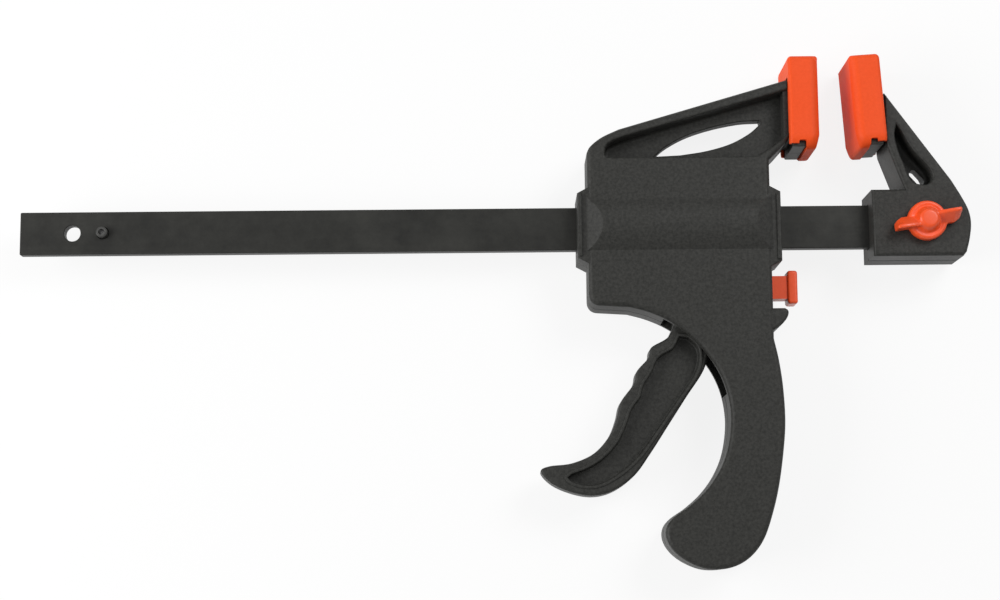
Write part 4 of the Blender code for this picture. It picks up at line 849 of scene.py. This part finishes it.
def ways():
    """The cuts that the moving pieces run in: bar, trigger, brake plate, button and the trigger's pin."""
    end = COLLAR_REACH + OVERRUN
    clear = BAR_HALF + RUNNING_GAP
    bar_way = slab("bar_way", (-end, -clear), (end, clear), BAR_THICKNESS / 2 + RUNNING_GAP)
    trigger_slot = prism("trigger_slot", slot_outline(), TRIGGER_HALF + 2 * RUNNING_GAP)
    play = PLATE_THICKNESS / 2 + 2 * GAP
    lean = (BRAKE_PIVOT_RISE - BAR_HALF) * math.tan(BRAKE_CANT)
    top = (BRAKE_PIVOT_X + play + lean, BRAKE_PIVOT_RISE + PLATE_THICKNESS / 2 + GAP)
    notch = slab("brake_notch", (BRAKE_PIVOT_X - play, 0), top, BRAKE_PLATE_HALF_WIDTH + GAP)
    tall = BUTTON_STEM_HALF_HEIGHT + RUNNING_GAP
    low = (BLOCK_INSIDE - OVERRUN, -BUTTON_DROP - tall)
    high = (BLOCK_HALF_WIDTH + OVERRUN, -BUTTON_DROP + tall)
    button_way = slab("button_way", low, high, BUTTON_STEM_HALF_WIDTH + RUNNING_GAP)
    pin_end = TRIGGER_PIN_LENGTH / 2 + RUNNING_GAP
    radius = (TRIGGER_PIN_DIAMETER + RUNNING_GAP) / 2
    return bar_way, trigger_slot, notch, button_way, post("pin_socket", radius, TRIGGER_PIVOT, -pin_end, pin_end)


def screw_holes(side):
    """Blind pilot holes in the front shell, clearance holes with sunk seats in the rear one."""
    deep = -2 * OVERRUN
    outside = PANEL_HALF + OVERRUN
    if side > 0:
        return [post("pilot", SHELL_SCREW_RADIUS + GAP / 2, place, deep, PILOT_DEPTH) for place in screw_places()]
    found = []
    radius = SHELL_SCREW_HEAD_RADIUS + GAP
    for place in screw_places():
        found.append(post("clearance", SHELL_SCREW_RADIUS + GAP, place, deep, outside))
        seat = [
            (0, PANEL_HALF - HEAD_SINK),
            (radius, PANEL_HALF - HEAD_SINK),
            (radius, PANEL_HALF - SEAT_CHAMFER),
            (radius + SEAT_CHAMFER + OVERRUN, outside),
            (0, outside),
        ]
        found.append(turned("seat", seat, (*place, 0)))
    return found


def arm_end(half):
    """What is cut off beyond the end of a jaw's arm."""
    return slab("arm_end", (ARM_REACH, ARM_FOOT), (PAD_FACE + OVERRUN, 2 * PAD_TOP), half + OVERRUN)


def shell(node, side):
    """One housing half: side 1 is the front, side -1 the rear."""
    seam = [(-OVERRUN, -SEAM_CHAMFER), (SEAM / 3, -SEAM_CHAMFER), (SEAM / 3 + SEAM_CHAMFER, 0)]
    part = stack(node + "_moulding", housing_outline(), seam + crown_levels(PANEL_HALF, HOUSING_EDGE))
    cut(part, arm_end(PANEL_HALF))
    join(part, guard(), *collars(), bulge())
    cavity = stack("cavity", cavity_outline(), [(-2 * OVERRUN, -WALL), (CAVITY_HALF, -WALL)])
    seat_end = BLOCK_INSIDE + GAP
    cut(part, cavity, rod("bore", DRIVE_BORE, (-seat_end, 0, 0), (seat_end, 0, 0), 2 * ROUND_SIDES))
    pocket = stack("pocket", arm_pocket_outline(), pocket_levels(WEB_HALF, POCKET_FILLET, PANEL_HALF, RIM))
    lens = stack("lens", lens_outline(), [(-2 * OVERRUN, 0), *flare_levels(WEB_HALF, LENS_RIM)])
    cut(part, pocket, lens)
    join(part, *head(ARM_NECK_TOP), *inner_fittings())
    cut(part, *ways())
    reach = 2 * COLLAR_REACH
    trim(part, block("half", (-reach, -2 * GRIP_LENGTH, SEAM / 2), (reach, 2 * PAD_TOP, CREST_HALF + OVERRUN)))
    cut(part, *screw_holes(side))
    moved(part, LIFT @ Matrix.Scale(side, 4, (0, 0, 1)))
    dressed(shaded(part), black_plastic, "housing", "black_plastic", node)


# Pads
def pad_body(name):
    """The pad's outer form: rounded more along its sides than along its top, and leaning back at the foot."""
    low = (PAD_FOOT, -PAD_HALF_WIDTH)
    high = (PAD_TOP, PAD_HALF_WIDTH)
    corners = [low, (high[0], low[1]), high, (low[0], high[1])]
    radii = (PAD_FOOT_CORNER, PAD_TOP_CORNER, PAD_TOP_CORNER, PAD_FOOT_CORNER)
    outline = without_repeats(rounded(corners, radii))
    spread = [moved_point - point for point, moved_point in zip(outline, offset(outline, 1))]
    levels = []
    for angle in arc_angles():
        back = PAD_BACK_EDGE * (1 - math.sin(angle))
        levels.append((PAD_BACK + PAD_BACK_EDGE * (1 - math.cos(angle)), back, back))
    for angle in reversed(arc_angles(2 * RIM_STEPS)):
        depth = PAD_FACE_EDGE * (1 - math.cos(angle))
        side = PAD_FACE_EDGE * (1 - math.sin(angle))
        left = max(1 - depth / PAD_TOP_EDGE, 0)
        levels.append((PAD_FACE - depth, PAD_TOP_EDGE * (1 - math.sqrt(1 - left**2)), side))
    rings = []
    for x, in_y, in_z in levels:
        rings.append([(x, point.x - way.x * in_y, point.y - way.y * in_z) for point, way in zip(outline, spread)])
    work = loft(rings)
    taper_top = PAD_FOOT + PAD_TAPER_HEIGHT
    geometry = work.verts[:] + work.edges[:] + work.faces[:]
    bmesh.ops.bisect_plane(work, geom=geometry, plane_co=(0, taper_top, 0), plane_no=(0, 1, 0))
    for vertex in work.verts:
        below = max(taper_top - vertex.co.y, 0) / PAD_TAPER_HEIGHT
        vertex.co.x -= PAD_TAPER * below * (vertex.co.x - PAD_BACK) / PAD_THICKNESS
    return built(name, work)


def pad(node):
    """The soft cap that slides down over a jaw head, modelled on the moving jaw, from the middle plane."""
    part = pad_body(node + "_cap")
    deep = PAD_HALF_WIDTH + OVERRUN
    half = PAD_HALF_WIDTH - PAD_SIDE_WALL
    below = PAD_FOOT - OVERRUN
    behind = PAD_BACK - OVERRUN
    lip = PAD_BACK + PAD_LIP
    wall = PAD_FACE - PAD_FACE_WALL
    room = slab("pad_room", (lip, below), (wall, PAD_TOP - PAD_TOP_WALL), half)
    mouth_top = ARM_NECK_TOP + NECK_LENGTH
    mouth = slab("pad_mouth", (behind, below), (lip + OVERRUN, mouth_top), half - PAD_LIP_OVERLAP)
    hem = slab("pad_hem", (behind, below), (wall - GAP, PAD_FOOT + PAD_HEM), deep, SMALL_EDGE)
    notch_top = PAD_FOOT + PAD_NOTCH_HEIGHT
    notch = slab("pad_notch", (wall - PAD_NOTCH_WIDTH, below), (wall - GAP, notch_top), deep, SMALL_EDGE)
    return cut(part, room, mouth, hem, notch)


def toe_in():
    """Takes the moving jaw's head or pad to the fixed jaw: mirrored in X, then leaned towards the other jaw."""
    pivot_y = PAD_TOP - PAD_TAPER_HEIGHT
    to_pivot = Matrix.Translation((-PAD_FACE, -pivot_y, 0))
    back = Matrix.Translation((PAD_FACE + JAW_OPENING, pivot_y, 0))
    return back @ Matrix.Rotation(TOE_IN, 4, "Z") @ Matrix.Scale(-1, 4, (1, 0, 0)) @ to_pivot


def jaw_pads():
    moving = moved(pad("moving_jaw_pad"), LIFT)
    dressed(shaded(moving), orange_pad, "housing", "orange_pad", "moving_jaw_pad")
    fixed = moved(pad("fixed_jaw_pad"), toe_in() @ LIFT)
    dressed(shaded(fixed), orange_pad, "bar", "orange_pad", "fixed_jaw_pad")


# Bar and its pieces
def both_ends(upper):
    """A profile of (radius, z) points continued by its mirror image below."""
    return upper + [(radius, -z) for radius, z in reversed(upper)]


def bar():
    face = BAR_THICKNESS / 2
    part = moved(slab("bar_section", (BAR_START, -BAR_HALF), (BAR_END, BAR_HALF), face, SMALL_EDGE), LIFT)
    holes = {
        "tail": (BAR_START + TAIL_HOLE_INSET, BAR_HOLE / 2),
        "pin": (BAR_START + PIN_HOLE_INSET, STOP_PIN_DIAMETER / 2 + GAP / 6),
        "screw": (SCREW_X, BAR_HOLE / 2),
    }
    for kind, (x, radius) in holes.items():
        above = face + OVERRUN
        upper = [(0, above), (radius + HOLE_CHAMFER + OVERRUN, above), (radius, face - HOLE_CHAMFER)]
        cut(part, turned(kind + "_hole", both_ends(upper), (x, 0, MID)))
    dressed(shaded(part), black_steel, "bar", "black_steel", "bar")


def stop_pin():
    outer = STOP_PIN_DIAMETER / 2
    inner = STOP_PIN_BORE / 2
    half = STOP_PIN_LENGTH / 2
    upper = [(inner, half), (outer - SMALL_EDGE, half), (outer, half - SMALL_EDGE)]
    part = turned("stop_pin_roll", both_ends(upper), (BAR_START + PIN_HOLE_INSET, 0, MID))
    dressed(shaded(part), dulled_zinc, "bar", "zinc_steel", "stop_pin")


# Fixed jaw
def jaw_points(shares, rise=JAW_RISE):
    return placed(shares, (SCREW_X, 0), JAW_BACK, rise)


def fixed_jaw_outline():
    left = SCREW_X - JAW_FRONT
    foot = [(left, -JAW_DROP), (SCREW_X + JAW_BACK * JAW_FOOT_SHARE, -JAW_DROP)]
    *arm, corner = jaw_points(JAW_ARM_SHARES)
    top = [(corner[0], JAW_HALF_HEIGHT), (left, JAW_HALF_HEIGHT)]
    return foot + smooth(jaw_points(JAW_BACK_SHARES, JAW_HALF_HEIGHT)) + arm + top


def fixed_jaw():
    """The moulded jaw on the bar's end, in heights from the middle plane until it is lifted to its place."""
    part = stack("fixed_jaw_moulding", fixed_jaw_outline(), rim_levels(JAW_HALF, JAW_EDGE))
    cut(part, moved(arm_end(JAW_HALF), toe_in()))
    pocket = smooth(jaw_points(JAW_POCKET_SHARES + JAW_POCKET_SHARES[:1]))[:-1]
    cut_both_sides(part, "jaw_pocket", pocket, pocket_levels(JAW_WEB_HALF, POCKET_FILLET, JAW_HALF, RIM))
    deep = JAW_HALF + OVERRUN
    ends = [Vector(point) for point in jaw_points(JAW_SLOT_SHARES)]
    sideways = (ends[1] - ends[0]).normalized().orthogonal() * JAW_SLOT_WIDTH / 2
    corners = [ends[0] + sideways, ends[0] - sideways, ends[1] - sideways, ends[1] + sideways]
    capsule = rounded(corners, [JAW_SLOT_WIDTH * SLOT_END_SHARE] * len(corners))
    cut(part, prism("jaw_slot", capsule, deep))
    join(part, *[moved(piece, toe_in()) for piece in head(JAW_NECK_TOP)])

    clear = BAR_HALF + GAP
    left = SCREW_X - JAW_FRONT - OVERRUN
    socket = slab("jaw_socket", (left, -clear), (BAR_END + GAP, clear), BAR_THICKNESS / 2 + GAP)
    axis = (SCREW_X, 0)
    hole = post("jaw_hole", BAR_HOLE / 2, axis, -deep, deep)
    nut_radius = NUT_ACROSS_FLATS / 2 / math.cos(math.radians(30)) + GAP
    nut_floor = -JAW_HALF + NUT_RECESS + NUT_THICKNESS + GAP
    nut_room = post("nut_room", nut_radius, axis, -deep, nut_floor, 6)
    right = SCREW_X + JAW_BACK * JAW_FOOT_SHARE
    groove = slab("jaw_seam", (left, -JAW_DROP - OVERRUN), (right, -JAW_DROP + JAW_STEP), JAW_STEP / 2)
    cut(part, socket, hole, nut_room, groove)
    moved(part, LIFT)
    dressed(shaded(part), black_plastic, "bar", "black_plastic", "fixed_jaw")


# Wing knob
def knob_wing(side):
    """One wing: an upright wall on its leading side, a thin ridge, and a face that slopes down behind it."""
    rings = []
    front = WING_THICKNESS / 2
    for reach, ridge, trailing in WING_SECTION_SHARES:
        x = WING_SPAN / 2 * reach
        back = front * trailing
        top = WING_LIFT + (WING_HEIGHT - WING_LIFT) * ridge
        heel = WING_LIFT + (top - WING_LIFT) * WING_HEEL_SHARE
        section = [(front, WING_LIFT), (front, top), (front - WING_RIDGE, top), (back, heel), (back, WING_LIFT)]
        rings.append([(x, y, z) for y, z in section])
    return moved(built("wing", loft(rings)), Matrix.Rotation(math.radians(90) * (1 - side), 4, "Z"))


def wing_knob():
    """The screwed-on knob, blended into one moulding by a fine remesh."""
    flange = placed(KNOB_FLANGE_SHARES, (0, 0), KNOB_RADIUS, KNOB_FLANGE)
    part = turned("wing_knob_moulding", flange, (0, 0, 0))
    boss_foot = KNOB_FLANGE / 2
    boss = placed(KNOB_BOSS_SHARES, (0, boss_foot), KNOB_BOSS_RADIUS, KNOB_BOSS_HEIGHT - boss_foot)
    join(part, turned("knob_boss", boss, (0, 0, 0)), knob_wing(1), knob_wing(-1))
    moved(part, Matrix.Rotation(WING_TILT, 4, "Z"))
    fuse = part.modifiers.new("fuse", "REMESH")
    fuse.mode = "VOXEL"
    fuse.voxel_size = KNOB_VOXEL
    soften = part.modifiers.new("soften", "SMOOTH")
    soften.factor = KNOB_SOFTENING
    soften.iterations = KNOB_SMOOTHING
    part.data = evaluated_mesh(part)
    part.modifiers.clear()
    cut(part, post("knob_socket", SCREW_DIAMETER / 2 + GAP / 3, (0, 0), -OVERRUN, KNOB_SOCKET))
    moved(part, Matrix.Translation((SCREW_X, 0, MID + JAW_HALF + GAP)))
    part.data.shade_smooth()
    dressed(part, orange_plastic, "wing_knob", "orange_plastic", "wing_knob")


# Trigger
def trigger_points(shares):
    """Shares of the trigger's reach and length, measured from its pivot."""
    return placed(shares, TRIGGER_PIVOT, TRIGGER_REACH, -TRIGGER_LENGTH)


def trigger_outline():
    pivot = Vector(TRIGGER_PIVOT)
    nose = Vector((NOSE_X, NOSE_Y))
    lean = (nose - pivot).normalized()
    right = Vector((lean.y, -lean.x))
    neck = pivot + lean * NOSE_ARM * NOSE_NECK_SHARE
    neck_side = right * NOSE_RADIUS * NOSE_WAIST_SHARE
    angles = [2 * angle for angle in arc_angles(2 * ARC_STEPS)]
    around = [nose + (right * math.cos(a) + lean * math.sin(a)) * NOSE_RADIUS for a in angles]
    above = [pivot + right * TRIGGER_HUB, neck + neck_side, *around, neck - neck_side, pivot - right * TRIGGER_HUB]
    return [tuple(point) for point in above] + smooth(trigger_points(TRIGGER_SHARES))


def trigger():
    """Lever with a bead round each side's pocket, a little higher than the rim that the fingers feel."""
    rims = rim_levels(TRIGGER_HALF - TRIGGER_LEDGE, TRIGGER_EDGE)
    part = stack("trigger_moulding", trigger_outline(), rims)
    web = smooth(trigger_points(TRIGGER_WEB_FRONT_SHARES)) + smooth(trigger_points(TRIGGER_WEB_BACK_SHARES))
    web = offset(without_repeats(web), TRIGGER_POCKET_SPREAD)
    join(part, stack("trigger_bead", offset(web, TRIGGER_BEAD), rim_levels(TRIGGER_HALF, TRIGGER_LEDGE)))
    levels = pocket_levels(TRIGGER_WEB_HALF, TRIGGER_FILLET, TRIGGER_HALF, TRIGGER_RIM)
    cut_both_sides(part, "trigger_pocket", web, levels)
    deep = TRIGGER_HALF + OVERRUN
    cut(part, post("trigger_bore", TRIGGER_PIN_DIAMETER / 2 + GAP / 3, TRIGGER_PIVOT, -deep, deep))
    moved(part, LIFT)
    dressed(shaded(part), black_plastic, "trigger", "black_plastic", "trigger")


# Release button
def release_button():
    """Outer flange, stem through the housing's side, catch inside it and the nose that moves the brake plate."""
    y = -BUTTON_DROP
    low = (BUTTON_REACH - BUTTON_FLANGE, y - BUTTON_FLANGE_HALF_HEIGHT)
    high = (BUTTON_REACH, y + BUTTON_FLANGE_HALF_HEIGHT)
    rounding = (BUTTON_EDGE, BUTTON_EDGE_SEGMENTS)
    part = slab("release_button_moulding", low, high, BUTTON_FLANGE_HALF_WIDTH, *rounding)
    catch_right = BLOCK_INSIDE - GAP
    middle = catch_right - BUTTON_CATCH / 2
    low = y - BUTTON_STEM_HALF_HEIGHT
    high = y + BUTTON_STEM_HALF_HEIGHT
    stem = slab("stem", (middle, low), (BUTTON_REACH - BUTTON_FLANGE / 2, high), BUTTON_STEM_HALF_WIDTH)
    wide = BUTTON_STEM_HALF_WIDTH + BUTTON_CATCH_LIP
    catch = slab("catch", (catch_right - BUTTON_CATCH, low), (catch_right, high), wide)
    lean = math.tan(BRAKE_CANT) * BRAKE_ARM
    centre = BRAKE_PIVOT_X + lean + PLATE_THICKNESS / 2 / math.cos(BRAKE_CANT) + GAP / 2 + BUTTON_NOSE_RADIUS
    width = BUTTON_STEM_HALF_WIDTH - OVERRUN / 2
    tip = post("tip", BUTTON_NOSE_RADIUS, (centre, y), -width, width)
    tongue = slab("tongue", (centre, y - BUTTON_NOSE_RADIUS), (middle, y + BUTTON_NOSE_RADIUS), width)
    join(part, stem, catch, tongue, tip)
    moved(part, LIFT)
    dressed(shaded(part), orange_plastic, "release_button", "orange_plastic", "release_button")


# Shell screws and springs
def shell_screw(number, place):
    """A pan-head self-tapping screw, head down at the rear, with a cross recess."""
    node = f"shell_screw_{number}"
    seat = -PANEL_HALF + HEAD_SINK - GAP
    head_low = seat - SHELL_SCREW_HEAD
    tip = head_low + SHELL_SCREW_LENGTH
    point = SHELL_SCREW_RADIUS * SHELL_SCREW_POINT_SHARE
    profile = [
        (0, tip),
        (SHELL_SCREW_RADIUS * SHELL_SCREW_TIP_SHARE, tip),
        (SHELL_SCREW_RADIUS, tip - point),
        (SHELL_SCREW_RADIUS, seat),
        (SHELL_SCREW_HEAD_RADIUS, seat),
    ]
    dome = SHELL_SCREW_HEAD * SHELL_SCREW_DOME_SHARE
    for angle in arc_angles(ARC_STEPS):
        radius = SHELL_SCREW_HEAD_RADIUS * (1 - SHELL_SCREW_DOME_SHARE * (1 - math.cos(angle)))
        profile.append((radius, head_low + dome * (1 - math.sin(angle))))
    profile.append((0, head_low))
    part = turned(node + "_pan_head", profile, (*place, MID))
    for wide, deep in ((CROSS_SPAN, CROSS_WIDTH), (CROSS_WIDTH, CROSS_SPAN)):
        low = (place[0] - wide / 2, place[1] - deep / 2, MID + head_low - OVERRUN)
        high = (place[0] + wide / 2, place[1] + deep / 2, MID + head_low + CROSS_DEPTH)
        cut(part, block("cross", low, high))
    dressed(shaded(part), zinc_steel, "housing", "zinc_steel", node)


def springs():
    """Both coil springs, each with a mesh of its own. Nothing here shortens them as the plates that press them
    move.
    """
    left = -BLOCK_INSIDE
    right = DRIVE_PLATE_RIGHT - PLATE_THICKNESS - GAP
    drive = coil("drive_spring_coil", (left, 0, MID), (right, 0, MID), DRIVE_COIL_RADIUS, DRIVE_WIRE, DRIVE_TURNS)
    dressed(drive, plain_steel, "housing", "plain_steel", "drive_spring")
    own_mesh(drive)
    y = -BRAKE_SPRING_DROP
    below = BRAKE_PIVOT_RISE + BRAKE_SPRING_DROP - BRAKE_COIL_RADIUS - BRAKE_WIRE / 2
    face = BRAKE_PIVOT_X + below * math.tan(BRAKE_CANT) - PLATE_THICKNESS / 2 / math.cos(BRAKE_CANT)
    left = RIB_X + RIB_THICKNESS + GAP
    right = face - GAP
    brake = coil("brake_spring_coil", (left, y, MID), (right, y, MID), BRAKE_COIL_RADIUS, BRAKE_WIRE, BRAKE_TURNS)
    dressed(brake, plain_steel, "housing", "plain_steel", "brake_spring")
    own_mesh(brake)


def carried_over(node, material):
    """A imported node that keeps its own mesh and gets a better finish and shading."""
    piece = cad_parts[node]
    weld = piece.modifiers.new("weld", "WELD")
    weld.merge_threshold = NEAR
    split = piece.modifiers.new("crisp_edges", "EDGE_SPLIT")
    split.split_angle = SHARP_ANGLE
    piece.data.shade_smooth()
    piece.data.materials.clear()
    piece.data.materials.append(material)


# The whole clamp
shell("front_shell", 1)
shell("rear_shell", -1)
jaw_pads()
bar()
stop_pin()
fixed_jaw()
wing_knob()
trigger()
release_button()
springs()
for count, spot in enumerate(screw_places(), 1):
    shell_screw(count, spot)
for kept in ("clamp_screw", "clamp_nut", "trigger_pin"):
    carried_over(kept, zinc_steel)
for kept in ("drive_plate", "brake_plate"):
    carried_over(kept, plain_steel)

# Floor, light and camera
FLOOR_HALF = 3.0
FLOOR_ALBEDO = 0.92
FLOOR_GLOW_SHARE = 0.86
WORLD_LIGHT = 0.22
KEY_ENERGY = 5.6
KEY_SIZE = 0.5
FILL_ENERGY = 9.2
FILL_SIZE = 0.7
KEY_PLACE = (0.5, 0.42, 0.8)
FILL_PLACE = (-0.9, -0.1, 0.5)
LAMP_AIM = (-0.05, 0, 0)
WHITE = (1, 1, 1, 1)
CAMERA_TARGET = (-0.07136, -0.02815, 0.0155)
CAMERA_DISTANCE = 0.792
CAMERA_TILT = math.radians(8.5)
CAMERA_ROLL = math.radians(0.5)
CAMERA_LENS = 71.28
CAMERA_SENSOR = 36


def seen_rays(tree):
    """1 for rays that show a surface as itself, straight or in a reflection, and 0 for those that light others."""
    path = tree.nodes.new("ShaderNodeLightPath").outputs
    found = path["Is Camera Ray"]
    for kind in ("Is Glossy Ray", "Is Transmission Ray"):
        most = add_node(tree, "Math", {0: found, 1: path[kind]})
        most.operation = "MAXIMUM"
        found = most.outputs["Value"]
    return found


def blend_by_ray(tree, share, lighting, seen, output):
    """Shows one shader where the share of seen rays is 0 and the other where it is 1."""
    mix = add_node(tree, "MixShader", {"Fac": share, 1: lighting.outputs[0], 2: seen.outputs[0]})
    tree.links.new(mix.outputs["Shader"], tree.nodes[output].inputs["Surface"])


def studio_floor():
    mesh = bpy.data.meshes.new("studio_floor")
    corners = [(-1, -1), (1, -1), (1, 1), (-1, 1)]
    mesh.from_pydata([(FLOOR_HALF * x, FLOOR_HALF * y, 0) for x, y in corners], [], [(0, 1, 2, 3)])
    paint = bpy.data.materials.new("studio_white")
    paint.use_nodes = True
    tree = paint.node_tree
    tree.nodes.remove(tree.nodes["Principled BSDF"])
    matt = add_node(tree, "BsdfDiffuse", {"Color": (FLOOR_ALBEDO, FLOOR_ALBEDO, FLOOR_ALBEDO, 1)})
    glow = add_node(tree, "Emission", {"Color": WHITE, "Strength": 1})
    share = add_node(tree, "Math", {0: seen_rays(tree), 1: FLOOR_GLOW_SHARE})
    share.operation = "MULTIPLY"
    blend_by_ray(tree, share.outputs["Value"], matt, glow, "Material Output")
    mesh.materials.append(paint)
    keep("studio_floor", mesh)


def studio_world():
    """White where it is seen, and a softer light where it only lights the clamp."""
    world = bpy.data.worlds.new("studio")
    bpy.context.scene.world = world
    world.use_nodes = True
    tree = world.node_tree
    light = tree.nodes["Background"]
    light.inputs["Color"].default_value = WHITE
    light.inputs["Strength"].default_value = WORLD_LIGHT
    white = add_node(tree, "Background", {"Color": WHITE, "Strength": 1})
    blend_by_ray(tree, seen_rays(tree), light, white, "World Output")


def studio_lamp(name, place, size, energy):
    lamp = bpy.data.lights.new(name, "AREA")
    lamp.shape = "SQUARE"
    lamp.size = size
    lamp.energy = energy
    stand = keep(name, lamp)
    stand.location = place
    stand.rotation_euler = (Vector(LAMP_AIM) - Vector(place)).to_track_quat("-Z", "Y").to_euler()


def studio_camera():
    """Looks down on the middle of the clamp from its grip's side, a little rolled."""
    camera = bpy.data.cameras.new("camera")
    camera.sensor_width = CAMERA_SENSOR
    camera.lens = CAMERA_LENS
    stand = keep("camera", camera)
    turn = Matrix.Rotation(CAMERA_TILT, 4, "X") @ Matrix.Rotation(-CAMERA_ROLL, 4, "Z")
    aim = Matrix.Translation(CAMERA_TARGET)
    stand.matrix_world = aim @ turn @ Matrix.Translation((0, 0, CAMERA_DISTANCE))
    bpy.context.scene.camera = stand


studio_floor()
studio_world()
studio_lamp("key_softbox", KEY_PLACE, KEY_SIZE, KEY_ENERGY)
studio_lamp("fill_softbox", FILL_PLACE, FILL_SIZE, FILL_ENERGY)
studio_camera()
bpy.context.scene.view_settings.view_transform = "Standard"
